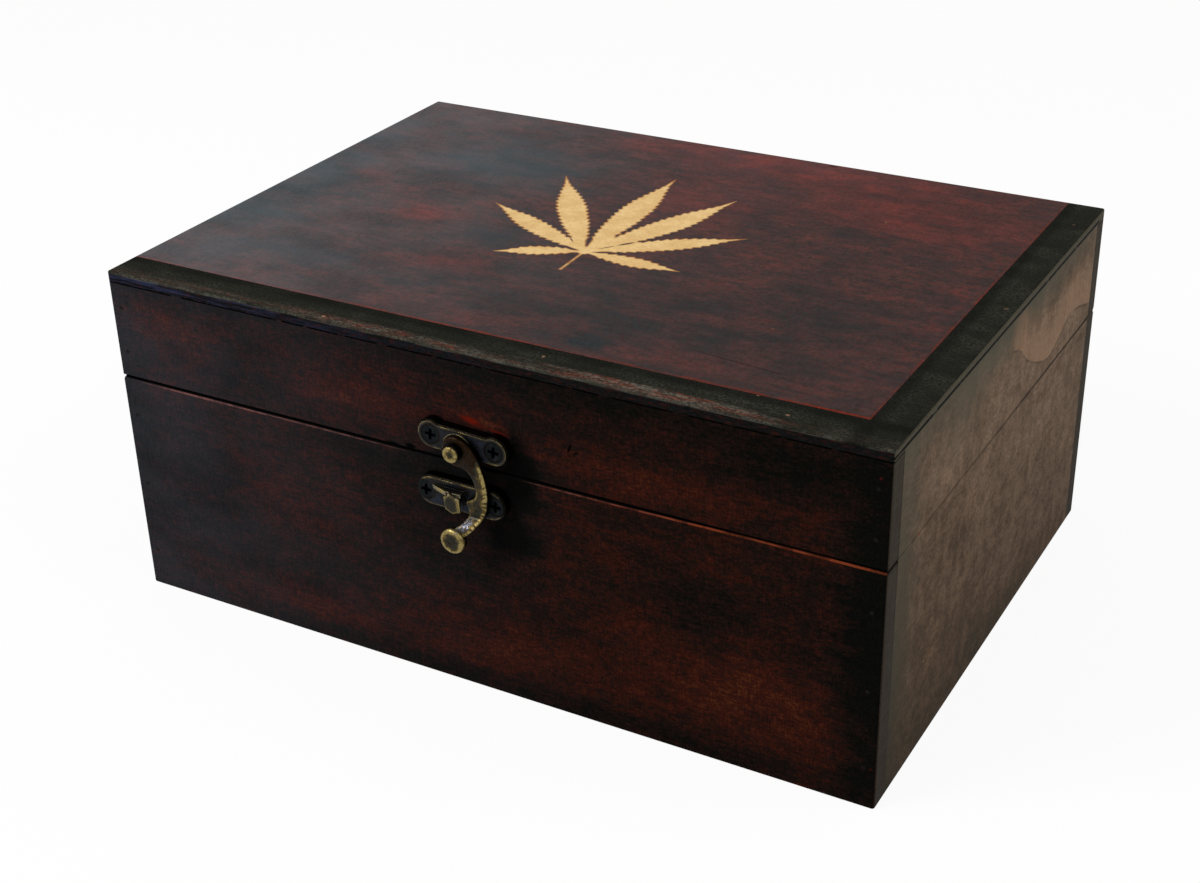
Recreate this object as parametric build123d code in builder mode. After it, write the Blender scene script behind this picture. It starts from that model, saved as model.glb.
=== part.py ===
from build123d import *
from math import cos, hypot, pi, radians, sin, tan
import os

# An antique wooden box with a hinged lid, a leaf let into the lid and a swing-hook clasp.
# Millimetres. The origin is the middle of the bottom face, +X to the right seen from the
# front, +Y to the hinged back, +Z up. Pieces are drawn closed, with the hook hanging half open.

# ---- Driving dimensions: the box ------------------------------------------------------------
box_width = 240.0
box_depth = 172.0
box_height = 105.0
board_thickness = 7.0
seam_height = 72.0  # middle of the gap between base and lid
seam_gap = 0.2
base_rim_round = 1.6  # front top edge of the base, worn round
lid_rim_round = 0.3
corner_round = 0.8  # upright corners of the long boards, and of all that lies over them
arris_round = 0.5  # long outer edges, worn
bottom_thickness = 4.0
rebate_depth = 3.5  # how far the bottom panel runs into the boards
panel_clearance = 0.2
top_panel_thickness = 2.4
veneer_thickness = 0.6
front_band_width = 12.2
right_band_width = 11.0

# ---- Driving dimensions: brads --------------------------------------------------------------
brad_radius = 0.6
brad_clearance = 0.03
corner_brad_length = 20.0
corner_brad_margin = 12.5  # from the bottom face, and from the rim
corner_brad_count = 3  # up each corner of the base
lid_brad_margin = 8.0  # from the lid's rim, and from the top panel
top_brad_length = 12.0
top_brad_margin = 22.0  # from the corners of the top panel
top_brad_count = 4  # along each long rail
bottom_brad_length = 12.0
bottom_brad_margin = 25.0
bottom_brad_count = 4  # along each long board

# ---- Driving dimensions: hinges -------------------------------------------------------------
hinge_spacing = 140.0
hinge_length = 18.0
hinge_leaf_width = 5.2  # from the axis
hinge_sheet = 0.8
hinge_inset = 1.55  # from the axis to the back face
knuckle_radius = 1.45
knuckle_count = 5
knuckle_gap = 0.15
pin_radius = 0.7
pin_clearance = 0.03
leaf_gap = 0.1  # between the two closed leaves
hinge_clearance = 0.3  # round the knuckles
mortise_clearance = 0.1
lid_opening = 98.0  # degrees
stop_margin = 2.0  # degrees left between the back bevels with the lid open
hinge_screw_spacing = 11.0
hinge_screw_head = 1.3
hinge_screw_shank = 0.6
hinge_screw_length = 5.0

# ---- Driving dimensions: clasp --------------------------------------------------------------
clasp_sheet = 3.0  # both plates
clasp_bevel = 0.45
clasp_screw_head = 2.5
clasp_screw_shank = 1.2
clasp_screw_length = 8.4
screw_clearance = 0.03
cross_length = 3.3  # cross recess in the screw heads
cross_width = 0.8
cross_depth = 0.9
hook_plate_x = 1.15
hook_plate_above_seam = 7.7
hook_plate_tilt = -2.5  # degrees, as it was screwed on
hook_plate_spacing = 19.7
hook_plate_lobe = 4.3
hook_plate_waist = 3.6  # from the line of the screws up to the dip between the lobes
catch_plate_x = -0.25
catch_plate_below_seam = 9.3
catch_plate_length = 28.0
catch_plate_width = 9.2
catch_plate_spacing = 22.0
rivet_x = -0.25
rivet_above_seam = 5.6
rivet_shank = 1.3
rivet_head = 2.4
rivet_head_thickness = 2.0
rivet_head_round = 0.7
rivet_dimple = 1.1
rivet_dimple_floor = 0.35
rivet_clearance = 0.03
boss_radius = 4.6
boss_rise = 0.3
hook_gap = 0.1  # between the hook and the boss behind it, and the rivet head before it
hook_thickness = 1.5
hook_bevel = 0.5
hook_eye = 4.3
hook_disc = 3.8
hook_disc_thickness = 2.5
hook_disc_round = 0.7
tail_slope = 48.0  # degrees, where the tail steps out
tail_step_drop = 21.3  # from the rivet to where the tail has stepped out
tail_bend = 1.6
catch_gap = 0.15  # between the hook and the head it passes behind
catch_head_thickness = 0.95
catch_fin_thickness = 1.1
catch_fin_lip = 0.3
tail_gap = 0.35  # between the head and the tail that passes before it

# Places on the hook and on the catch, from the rivet: x to the right, y up. The two inner
# edges meet in the nub that the catch holds.
hook_disc_place = (0.1, -25.6)
hook_outer_edge = [
    (0, 4.3), (4.2, 2.6), (8.1, -3.3), (9.6, -10.8), (8.9, -16.6), (6.7, -20.8), (2.6, -24.6)
]
hook_lower_edge = [(-1.0, -22.8), (2.5, -20.1), (3.6, -18.1), (3.4, -16.4), (2.8, -14.6)]
hook_upper_edge = [(5.3, -12.9), (6.0, -10.9), (5.6, -8.4), (4.4, -5.9), (2.3, -4.5)]
catch_head_corners = [
    (-2.1, -12.6), (1.1, -14.0), (1.4, -18.0), (-0.9, -18.9), (-3.4, -17.8), (-3.8, -14.2)
]
catch_fin_ends = ((-8.7, -13.3), (1.3, -13.3))
catch_post_corners = ((-3.1, -17.2), (-1.1, -13.3))

# ---- Driving dimensions: leaf ---------------------------------------------------------------
leaf_hub = (-4.0, -13.0)
leaf_hub_radius = 2.0
leaf_stem_end = (-3.7, -27.6)
leaf_stem_width = 1.0
leaf_tooth_pitch = 2.8
leaf_tooth_depth = 0.85
leaf_tooth_lean_share = 0.75  # of the pitch, from a notch out to its tooth
leaf_teeth_start_share = 0.14  # this and the next three are of a leaflet's length
leaf_teeth_end_share = 0.93
leaf_foot_share = 0.03
leaf_widest_share = 0.54
leaf_foot_power = 0.8  # these powers shape the two ends of a leaflet
leaf_tip_power = 1.5
leaflets = [  # tip, greatest width, and how far the middle bows to the left of the way out
    ((-28.3, -24.3), 7.4, -0.8),
    ((-48.6, 9.7), 8.8, 0.6),
    ((-40.6, 39.8), 10.3, 0.6),
    ((-7.3, 52.3), 10.8, 0.1),
    ((18.3, 43.3), 10.8, -1.2),
    ((34.5, 16.8), 9.3, 0.0),
    ((27.9, -14.0), 7.6, -0.2),
]

# ---- Worked out from them -------------------------------------------------------------------
half_width = box_width / 2
half_depth = box_depth / 2
hook_plate_height = seam_height + hook_plate_above_seam
catch_plate_height = seam_height - catch_plate_below_seam
rivet_height = seam_height + rivet_above_seam
base_rim = seam_height - seam_gap / 2
lid_rim = seam_height + seam_gap / 2
veneer_seat = box_height - veneer_thickness
rail_top = veneer_seat - top_panel_thickness
side_length = box_depth - 2 * board_thickness
brad_inset = board_thickness / 2

front_face = Plane(origin=(0, -half_depth, 0), x_dir=(1, 0, 0), z_dir=(0, -1, 0))
back_face = Plane(origin=(0, half_depth, 0), x_dir=(-1, 0, 0), z_dir=(0, 1, 0))

axis_y = half_depth - hinge_inset
axis_z = seam_height
bevel_angle = (lid_opening + stop_margin) / 2
pocket = knuckle_radius + hinge_clearance
base_leaf_bottom = axis_z - leaf_gap / 2 - hinge_sheet
lid_leaf_top = axis_z + leaf_gap / 2 + hinge_sheet
hinge_places = {"left": -hinge_spacing / 2, "right": hinge_spacing / 2}

boss_top = clasp_sheet + boss_rise
hook_back = boss_top + hook_gap
hook_front = hook_back + hook_thickness
rivet_seat = hook_front + hook_gap
catch_head_back = hook_front + catch_gap
catch_head_front = catch_head_back + catch_head_thickness
tail_back = catch_head_front + tail_gap


def along(margin, span, count):
    """Places spread evenly over a span that is centred on zero, a margin from its ends."""
    reach = span / 2 - margin
    return [reach * (2 * step / (count - 1) - 1) for step in range(count)]


def drill(places, radius, depth):
    """Drills the part in hand at each place, inward from the surface that the place faces."""
    with Locations(*places):
        Cylinder(radius, depth, align=(Align.CENTER, Align.CENTER, Align.MAX), mode=Mode.SUBTRACT)


def drive(places, radius, depth):
    """Adds a brad at each place, its head flush with the surface that the place faces."""
    with Locations(*places):
        Cylinder(radius, depth, align=(Align.CENTER, Align.CENTER, Align.MAX))


def turned_screw(head, shank, length, clearance=0.0):
    """A countersunk screw with its face at the origin, or the hole that it fills."""
    with BuildPart() as screw:
        with BuildSketch(Plane.XZ):
            with BuildLine():
                Polyline(
                    (0, 0),
                    (head + clearance, 0),
                    (shank + clearance, shank - head),
                    (shank + clearance, shank - length),
                    (0, -length - clearance),
                    close=True,
                )
            make_face()
        revolve(axis=Axis.Z)
    return screw.part


def export(piece, name):
    """Writes one named piece."""
    piece.label = name
    export_step(piece, f"parts/{name}.step")


os.makedirs("parts", exist_ok=True)

# ---- Where the fasteners go -----------------------------------------------------------------
# Each place has its own Z pointing out of the surface that the fastener is driven into.
corner_x = half_width - brad_inset
base_brad_heights = [
    base_rim / 2 + height for height in along(corner_brad_margin, base_rim, corner_brad_count)
]
lid_brad_heights = [lid_rim + lid_brad_margin, rail_top - lid_brad_margin]


def corner_brads_at(heights):
    """Places through the long boards into the ends of the short ones."""
    return [
        face.location * Location((x, height, 0))
        for face in (front_face, back_face)
        for x in (-corner_x, corner_x)
        for height in heights
    ]


base_corner_places = corner_brads_at(base_brad_heights)
lid_corner_places = corner_brads_at(lid_brad_heights)

top_brad_places = [
    Location((x, y, veneer_seat))
    for x in along(top_brad_margin, box_width, top_brad_count)
    for y in (brad_inset - half_depth, half_depth - brad_inset)
]

seat_width = box_width - 2 * board_thickness + 2 * rebate_depth
seat_depth = box_depth - 2 * board_thickness + 2 * rebate_depth
bottom_brad_y = (seat_depth - rebate_depth) / 2
bottom_brad_places = [
    Location((x, y, 0), (180, 0, 0))
    for x in along(bottom_brad_margin, box_width, bottom_brad_count)
    for y in (-bottom_brad_y, bottom_brad_y)
]

hinge_screw_y = axis_y - (pocket + hinge_leaf_width) / 2
hinge_screw_x = [
    middle + side * hinge_screw_spacing / 2 for middle in hinge_places.values() for side in (-1, 1)
]
base_hinge_screw_places = [
    Location((x, hinge_screw_y, base_leaf_bottom + hinge_sheet)) for x in hinge_screw_x
]
lid_hinge_screw_places = [
    Location((x, hinge_screw_y, lid_leaf_top - hinge_sheet), (180, 0, 0)) for x in hinge_screw_x
]

tilt = radians(hook_plate_tilt)
hook_plate_plane = Plane(
    origin=(hook_plate_x, -half_depth, hook_plate_height),
    x_dir=(cos(tilt), 0, sin(tilt)),
    z_dir=(0, -1, 0),
)
catch_plate_plane = Plane(
    origin=(catch_plate_x, -half_depth, catch_plate_height), x_dir=(1, 0, 0), z_dir=(0, -1, 0)
)
hook_plate_screw_places = [
    hook_plate_plane.location * Location((side * hook_plate_spacing / 2, 0, clasp_sheet))
    for side in (-1, 1)
]
catch_plate_screw_places = [
    catch_plate_plane.location * Location((side * catch_plate_spacing / 2, 0, clasp_sheet))
    for side in (-1, 1)
]
rivet_place = front_face.location * Location((rivet_x, rivet_height, 0))

hinge_screw = turned_screw(hinge_screw_head, hinge_screw_shank, hinge_screw_length)
hinge_screw_hole = turned_screw(
    hinge_screw_head, hinge_screw_shank, hinge_screw_length, screw_clearance
)
clasp_screw_hole = turned_screw(
    clasp_screw_head, clasp_screw_shank, clasp_screw_length, screw_clearance
)
with BuildPart() as clasp_screw:
    add(turned_screw(clasp_screw_head, clasp_screw_shank, clasp_screw_length))
    Box(cross_length, cross_width, 2 * cross_depth, mode=Mode.SUBTRACT)
    Box(cross_width, cross_length, 2 * cross_depth, mode=Mode.SUBTRACT)

# ---- Shared profiles and cutting bodies -----------------------------------------------------
with BuildSketch() as front_board_plan:
    with Locations((0, -half_depth)):
        Rectangle(box_width, board_thickness, align=(Align.CENTER, Align.MIN))
    fillet(front_board_plan.vertices().group_by(Axis.Y)[0], radius=corner_round)

with BuildSketch() as back_board_plan:
    with Locations((0, half_depth)):
        Rectangle(box_width, board_thickness, align=(Align.CENTER, Align.MAX))
    fillet(back_board_plan.vertices().group_by(Axis.Y)[-1], radius=corner_round)

with BuildSketch() as left_board_plan:
    with Locations((-half_width, 0)):
        Rectangle(board_thickness, side_length, align=(Align.MIN, Align.CENTER))

with BuildSketch() as right_board_plan:
    with Locations((half_width, 0)):
        Rectangle(board_thickness, side_length, align=(Align.MAX, Align.CENTER))

with BuildSketch() as box_plan:
    Rectangle(box_width, box_depth)
    fillet(box_plan.vertices(), radius=corner_round)

with BuildPart() as bottom_seat:
    Box(seat_width, seat_depth, bottom_thickness, align=(Align.CENTER, Align.CENTER, Align.MIN))

# The back edges are bevelled by planes through the hinge axis, which meet when the lid is open.
bevel_reach = 2 * hinge_inset
bevel_rise = bevel_reach * tan(radians(bevel_angle))
with BuildPart() as back_bevel:
    with BuildSketch(Plane.YZ.offset(-box_width)):
        with BuildLine():
            Polyline(
                (axis_y, axis_z),
                (axis_y + bevel_reach, axis_z + bevel_rise),
                (axis_y + bevel_reach, axis_z - bevel_rise),
                close=True,
            )
        make_face()
    extrude(amount=2 * box_width)

# Room in the back board and the back rail for the leaves and knuckles of both hinges.
mortise_length = hinge_length + 2 * mortise_clearance
mortise_width = hinge_leaf_width + mortise_clearance + 2 * hinge_inset
with BuildPart() as hinge_mortises:
    for middle in hinge_places.values():
        with BuildSketch(Plane.YZ.offset(middle - mortise_length / 2)):
            with Locations((axis_y - hinge_leaf_width - mortise_clearance, axis_z)):
                Rectangle(
                    mortise_width,
                    lid_leaf_top - base_leaf_bottom,
                    align=(Align.MIN, Align.CENTER),
                )
            with Locations((axis_y - pocket, axis_z)):
                Rectangle(pocket + 2 * hinge_inset, 2 * pocket, align=(Align.MIN, Align.CENTER))
        extrude(amount=mortise_length)

# ---- Base boards ----------------------------------------------------------------------------
base_boards = {
    "base_front_board": (front_board_plan, Axis.Y, 0),
    "base_left_board": (left_board_plan, Axis.X, 0),
    "base_right_board": (right_board_plan, Axis.X, -1),
}
for name, (plan, outward, outer) in base_boards.items():
    with BuildPart() as board:
        extrude(plan.sketch, amount=base_rim)
        outer_face = board.faces().filter_by(GeomType.PLANE).sort_by(outward)[outer]
        fillet(outer_face.edges().sort_by(Axis.Z)[0], radius=arris_round)
        if plan is front_board_plan:
            outer_face = board.faces().filter_by(GeomType.PLANE).sort_by(outward)[outer]
            fillet(outer_face.edges().sort_by(Axis.Z)[-1], radius=base_rim_round)
        add(bottom_seat.part, mode=Mode.SUBTRACT)
        drill(base_corner_places, brad_radius + brad_clearance, corner_brad_length)
        drill(bottom_brad_places, brad_radius + brad_clearance, bottom_brad_length)
        if plan is front_board_plan:
            with Locations(*catch_plate_screw_places):
                add(clasp_screw_hole, mode=Mode.SUBTRACT)
    export(board.part, name)

with BuildPart() as base_back_board:
    extrude(back_board_plan.sketch, amount=base_rim)
    outer_edges = base_back_board.faces().sort_by(Axis.Y)[-1].edges()
    fillet(outer_edges.sort_by(Axis.Z)[0], radius=arris_round)
    add(bottom_seat.part, mode=Mode.SUBTRACT)
    add(back_bevel.part, mode=Mode.SUBTRACT)
    add(hinge_mortises.part, mode=Mode.SUBTRACT)
    drill(base_corner_places, brad_radius + brad_clearance, corner_brad_length)
    drill(bottom_brad_places, brad_radius + brad_clearance, bottom_brad_length)
    with Locations(*base_hinge_screw_places):
        add(hinge_screw_hole, mode=Mode.SUBTRACT)
export(base_back_board.part, "base_back_board")

with BuildPart() as base_bottom_panel:
    Box(
        seat_width - 2 * panel_clearance,
        seat_depth - 2 * panel_clearance,
        bottom_thickness,
        align=(Align.CENTER, Align.CENTER, Align.MIN),
    )
    drill(bottom_brad_places, brad_radius + brad_clearance, bottom_brad_length)
export(base_bottom_panel.part, "base_bottom_panel")

# ---- Lid rails ------------------------------------------------------------------------------
rail_height = rail_top - lid_rim
lid_rails = {
    "lid_front_rail": front_board_plan,
    "lid_left_rail": left_board_plan,
    "lid_right_rail": right_board_plan,
}
for name, plan in lid_rails.items():
    with BuildPart() as rail:
        with BuildSketch(Plane.XY.offset(lid_rim)):
            add(plan.sketch)
        extrude(amount=rail_height)
        drill(lid_corner_places, brad_radius + brad_clearance, corner_brad_length)
        drill(top_brad_places, brad_radius + brad_clearance, top_brad_length)
        if plan is front_board_plan:
            fillet(rail.faces().sort_by(Axis.Y)[0].edges().sort_by(Axis.Z)[0], radius=lid_rim_round)
            with Locations(*hook_plate_screw_places):
                add(clasp_screw_hole, mode=Mode.SUBTRACT)
    export(rail.part, name)

with BuildPart() as lid_back_rail:
    with BuildSketch(Plane.XY.offset(lid_rim)):
        add(back_board_plan.sketch)
    extrude(amount=rail_height)
    add(back_bevel.part, mode=Mode.SUBTRACT)
    add(hinge_mortises.part, mode=Mode.SUBTRACT)
    drill(lid_corner_places, brad_radius + brad_clearance, corner_brad_length)
    drill(top_brad_places, brad_radius + brad_clearance, top_brad_length)
    with Locations(*lid_hinge_screw_places):
        add(hinge_screw_hole, mode=Mode.SUBTRACT)
export(lid_back_rail.part, "lid_back_rail")

with BuildPart() as lid_top_panel:
    with BuildSketch(Plane.XY.offset(rail_top)):
        add(box_plan.sketch)
    extrude(amount=top_panel_thickness)
    drill(top_brad_places, brad_radius + brad_clearance, top_brad_length)
export(lid_top_panel.part, "lid_top_panel")

# ---- Leaf inlay and veneers -----------------------------------------------------------------
def leaflet_outline(tip, greatest_width, bow):
    """Points round one leaflet: widest past its middle, drawn out to the tip, teeth leaning on."""
    length = hypot(tip[0] - leaf_hub[0], tip[1] - leaf_hub[1])
    along_x, along_y = (tip[0] - leaf_hub[0]) / length, (tip[1] - leaf_hub[1]) / length

    def half_width_at(share):
        if share < leaf_widest_share:
            foot_share = share / leaf_widest_share
            return greatest_width / 2 * sin(pi / 2 * foot_share**leaf_foot_power)
        tip_share = (share - leaf_widest_share) / (1 - leaf_widest_share)
        return greatest_width / 2 * cos(pi / 2 * tip_share) ** leaf_tip_power

    def point(share, out):
        distance = share * length
        out += bow * sin(pi * share)
        return (
            leaf_hub[0] + along_x * distance - along_y * out,
            leaf_hub[1] + along_y * distance + along_x * out,
        )

    toothed = leaf_teeth_end_share - leaf_teeth_start_share
    teeth = round(toothed * length / leaf_tooth_pitch)
    pitch = toothed / teeth
    edge = [(leaf_foot_share, half_width_at(leaf_foot_share))]
    for tooth in range(teeth):
        notch = leaf_teeth_start_share + tooth * pitch
        depth = min(leaf_tooth_depth, half_width_at(notch) / 3)
        peak = notch + leaf_tooth_lean_share * pitch
        edge += [(notch, half_width_at(notch) - depth), (peak, half_width_at(peak))]
    left = [point(share, out) for share, out in edge]
    right = [point(share, -out) for share, out in reversed(edge)]
    return left + [tip] + right


with BuildSketch() as leaf_outline:
    with Locations(leaf_hub):
        Circle(leaf_hub_radius)
    for tip, greatest_width, bow in leaflets:
        with BuildLine():
            Polyline(*leaflet_outline(tip, greatest_width, bow), close=True)
        make_face()
    with BuildLine():
        Line(leaf_hub, leaf_stem_end)
    trace(line_width=leaf_stem_width)

with BuildPart() as leaf_inlay:
    with BuildSketch(Plane.XY.offset(veneer_seat)):
        add(leaf_outline.face().without_holes())
    extrude(amount=veneer_thickness)
export(leaf_inlay.part, "leaf_inlay")

field_right = half_width - right_band_width
field_front = front_band_width - half_depth
with BuildSketch() as field_plan:
    with BuildLine():
        Polyline(
            (-half_width, field_front),
            (field_right, field_front),
            (field_right, half_depth),
            (-half_width, half_depth),
            close=True,
        )
    make_face()
with BuildSketch() as front_band_plan:
    with BuildLine():
        Polyline(
            (-half_width, -half_depth),
            (half_width, -half_depth),
            (field_right, field_front),
            (-half_width, field_front),
            close=True,
        )
    make_face()
with BuildSketch() as right_band_plan:
    with BuildLine():
        Polyline(
            (half_width, -half_depth),
            (half_width, half_depth),
            (field_right, half_depth),
            (field_right, field_front),
            close=True,
        )
    make_face()

# The top arris is worn round through the veneers, so all three are cut from one rounded sheet.
with BuildPart() as veneer_sheet:
    with BuildSketch(Plane.XY.offset(veneer_seat)):
        add(box_plan.sketch)
    extrude(amount=veneer_thickness)
    fillet(veneer_sheet.faces().sort_by(Axis.Z)[-1].edges(), radius=arris_round)

veneers = {
    "lid_field_veneer": field_plan,
    "lid_front_banding": front_band_plan,
    "lid_right_banding": right_band_plan,
}
for name, plan in veneers.items():
    with BuildPart() as veneer:
        with BuildSketch(Plane.XY.offset(veneer_seat)):
            add(plan.sketch)
        extrude(amount=veneer_thickness)
        add(veneer_sheet.part, mode=Mode.INTERSECT)
        if plan is field_plan:
            add(leaf_inlay.part, mode=Mode.SUBTRACT)
    export(veneer.part, name)

# ---- Brads ----------------------------------------------------------------------------------
brad_groups = {
    "base_corner_brads": (base_corner_places, corner_brad_length),
    "base_bottom_brads": (bottom_brad_places, bottom_brad_length),
    "lid_corner_brads": (lid_corner_places, corner_brad_length),
    "lid_top_brads": (top_brad_places, top_brad_length),
}
for name, (places, length) in brad_groups.items():
    with BuildPart() as brads:
        drive(places, brad_radius, length)
    export(brads.part, name)

# ---- Hinges ---------------------------------------------------------------------------------
knuckle_pitch = hinge_length / knuckle_count


def hinge_leaf(middle, flat_bottom, own_knuckles, screw_places):
    """One leaf of a butt hinge: a flat plate rolled into every second knuckle on the axis."""
    with BuildPart() as leaf:
        with BuildSketch(Plane.XY.offset(flat_bottom)):
            with Locations((middle, axis_y)):
                Rectangle(hinge_length, hinge_leaf_width, align=(Align.CENTER, Align.MAX))
        extrude(amount=hinge_sheet)
        with BuildSketch(Plane.YZ.offset(middle - hinge_length / 2)):
            with Locations((axis_y, axis_z)):
                Circle(knuckle_radius)
        extrude(amount=hinge_length)
        for knuckle in range(knuckle_count):
            if knuckle in own_knuckles:
                continue
            knuckle_middle = middle + (knuckle + 0.5) * knuckle_pitch - hinge_length / 2
            with Locations((knuckle_middle, axis_y, axis_z)):
                Box(
                    knuckle_pitch + knuckle_gap,
                    2 * pocket,
                    2 * pocket,
                    mode=Mode.SUBTRACT,
                )
        with Locations(Location((middle, axis_y, axis_z), (0, 90, 0))):
            Cylinder(pin_radius + pin_clearance, hinge_length, mode=Mode.SUBTRACT)
        with Locations(*screw_places):
            add(hinge_screw_hole, mode=Mode.SUBTRACT)
    return leaf.part


for side, middle in hinge_places.items():
    base_leaf = hinge_leaf(
        middle, base_leaf_bottom, range(0, knuckle_count, 2), base_hinge_screw_places
    )
    export(base_leaf, f"hinge_{side}_base_leaf")
    lid_leaf = hinge_leaf(
        middle, lid_leaf_top - hinge_sheet, range(1, knuckle_count, 2), lid_hinge_screw_places
    )
    export(lid_leaf, f"hinge_{side}_lid_leaf")
    with BuildPart() as pin:
        with Locations(Location((middle, axis_y, axis_z), (0, 90, 0))):
            Cylinder(pin_radius, hinge_length)
    export(pin.part, f"hinge_{side}_pin")

with BuildPart() as hinge_base_screws:
    with Locations(*base_hinge_screw_places):
        add(hinge_screw)
export(hinge_base_screws.part, "hinge_base_screws")

with BuildPart() as hinge_lid_screws:
    with Locations(*lid_hinge_screw_places):
        add(hinge_screw)
export(hinge_lid_screws.part, "hinge_lid_screws")

# ---- Hook plate and its rivet ---------------------------------------------------------------
with BuildPart() as hook_plate:
    with BuildSketch(hook_plate_plane) as hook_plate_outline:
        with Locations((-hook_plate_spacing / 2, 0), (hook_plate_spacing / 2, 0)):
            Circle(hook_plate_lobe)
        with Locations((0, hook_plate_waist)):
            Rectangle(
                hook_plate_spacing,
                hook_plate_lobe + hook_plate_waist,
                align=(Align.CENTER, Align.MAX),
            )
    extrude(amount=clasp_sheet)
    chamfer(hook_plate.faces().sort_by(Axis.Y)[0].edges(), length=clasp_bevel)
    with Locations(rivet_place):
        Cylinder(boss_radius, boss_top, align=(Align.CENTER, Align.CENTER, Align.MIN))
        Cylinder(rivet_shank + rivet_clearance, 3 * boss_top, mode=Mode.SUBTRACT)
    with Locations(*hook_plate_screw_places):
        add(clasp_screw_hole, mode=Mode.SUBTRACT)
export(hook_plate.part, "hook_plate")

with BuildPart() as hook_plate_screws:
    with Locations(*hook_plate_screw_places):
        add(clasp_screw.part)
export(hook_plate_screws.part, "hook_plate_screws")

with BuildPart() as hook_rivet:
    with Locations(rivet_place):
        Cylinder(rivet_shank, rivet_seat, align=(Align.CENTER, Align.CENTER, Align.MIN))
    with Locations(rivet_place * Location((0, 0, rivet_seat))):
        Cylinder(rivet_head, rivet_head_thickness, align=(Align.CENTER, Align.CENTER, Align.MIN))
    head_edges = hook_rivet.faces().sort_by(Axis.Y)[0].edges()
    fillet(head_edges, radius=rivet_head_round)
    with Locations(rivet_place * Location((0, 0, rivet_seat + rivet_head_thickness))):
        Cone(rivet_dimple_floor, rivet_dimple, rivet_dimple, mode=Mode.SUBTRACT)
export(hook_rivet.part, "hook_rivet")

# ---- Swing hook -----------------------------------------------------------------------------
def from_rivet(points):
    """Points given from the rivet, as points on the front face."""
    return [(rivet_x + x, rivet_height + y) for x, y in points]


def rim_of(faces):
    """The edges round a run of joined faces, which only one of the faces has."""
    edges = [edge for face in faces for edge in face.edges()]
    return [edge for edge in edges if sum(edge.is_same(other) for other in edges) == 1]


outer_edge = from_rivet(hook_outer_edge)
lower_edge = from_rivet(hook_lower_edge)
upper_edge = from_rivet(hook_upper_edge)
tail_middle = tail_back + hook_thickness / 2
flat_middle = hook_back + hook_thickness / 2
step_height = (tail_middle - flat_middle) / tan(radians(tail_slope))
tail_low = rivet_height - tail_step_drop
front_facing_ratio = 0.5  # the least that a bevelled face of the hook is turned to the front

with BuildPart() as swing_hook:
    with BuildSketch(front_face):
        with BuildLine():
            Spline(*outer_edge)
            Line(outer_edge[-1], lower_edge[0])
            Spline(*lower_edge)
            Line(lower_edge[-1], upper_edge[0])
            Spline(*upper_edge)
            Polyline(upper_edge[-1], (rivet_x, rivet_height), outer_edge[0])
        make_face()
        with Locations((rivet_x, rivet_height)):
            Circle(hook_eye)
    extrude(amount=2 * tail_back)
    with BuildSketch(Plane.YZ.offset(-half_width)):
        with BuildLine():
            FilletPolyline(
                (-half_depth - flat_middle, rivet_height + 2 * hook_eye),
                (-half_depth - flat_middle, tail_low + step_height),
                (-half_depth - tail_middle, tail_low),
                (-half_depth - tail_middle, 0),
                radius=tail_bend,
            )
        trace(line_width=hook_thickness)
    extrude(amount=box_width, mode=Mode.INTERSECT)
    chamfer(
        rim_of(face for face in swing_hook.faces() if face.normal_at().Y < -front_facing_ratio),
        length=hook_bevel,
    )
    with Locations(rivet_place):
        Cylinder(rivet_shank + rivet_clearance, 4 * hook_front, mode=Mode.SUBTRACT)
    with BuildSketch(front_face.offset(tail_back)):
        with Locations(*from_rivet([hook_disc_place])):
            Circle(hook_disc)
    extrude(amount=hook_disc_thickness)
    fillet(
        swing_hook.faces().sort_by(Axis.Y)[0].edges().filter_by(GeomType.CIRCLE),
        radius=hook_disc_round,
    )
export(swing_hook.part, "swing_hook")

# ---- Catch plate: plate, post, fin and head in one casting ----------------------------------
(fin_left, fin_height), (fin_right, fin_height) = from_rivet(catch_fin_ends)
(post_left, post_bottom), (post_right, post_top) = from_rivet(catch_post_corners)

with BuildPart() as catch_plate:
    with BuildSketch(catch_plate_plane):
        SlotOverall(catch_plate_length, catch_plate_width)
    extrude(amount=clasp_sheet)
    chamfer(catch_plate.faces().sort_by(Axis.Y)[0].edges(), length=clasp_bevel)
    with BuildSketch(front_face.offset(catch_head_back)):
        with BuildLine():
            Polyline(*from_rivet(catch_head_corners), close=True)
        make_face()
    extrude(amount=catch_head_thickness)
    chamfer(catch_plate.faces().sort_by(Axis.Y)[0].edges(), length=clasp_bevel)
    with BuildSketch(front_face):
        with BuildLine():
            Polyline(
                (post_left, post_bottom),
                (post_right, post_bottom),
                (post_right, post_top),
                (post_left, post_top),
                close=True,
            )
        make_face()
    extrude(amount=catch_head_back)
    with BuildSketch(Plane.XY.offset(fin_height - catch_fin_thickness / 2)):
        with BuildLine():
            Polyline(
                (fin_left, -half_depth),
                (fin_left, -half_depth - clasp_sheet - catch_fin_lip),
                (post_left, -half_depth - catch_head_back - catch_fin_lip),
                (post_left, -half_depth - catch_head_back),
                (fin_right, -half_depth - catch_head_back),
                (fin_right, -half_depth),
                close=True,
            )
        make_face()
    extrude(amount=catch_fin_thickness)
    with Locations(*catch_plate_screw_places):
        add(clasp_screw_hole, mode=Mode.SUBTRACT)
export(catch_plate.part, "catch_plate")

with BuildPart() as catch_plate_screws:
    with Locations(*catch_plate_screw_places):
        add(clasp_screw.part)
export(catch_plate_screws.part, "catch_plate_screws")
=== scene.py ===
"""The finish of an antique wooden box: stained boards and veneers, a pale leaf let into the
lid, and a swing-hook clasp of old cast brass."""
from math import cos, radians, sin

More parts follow.
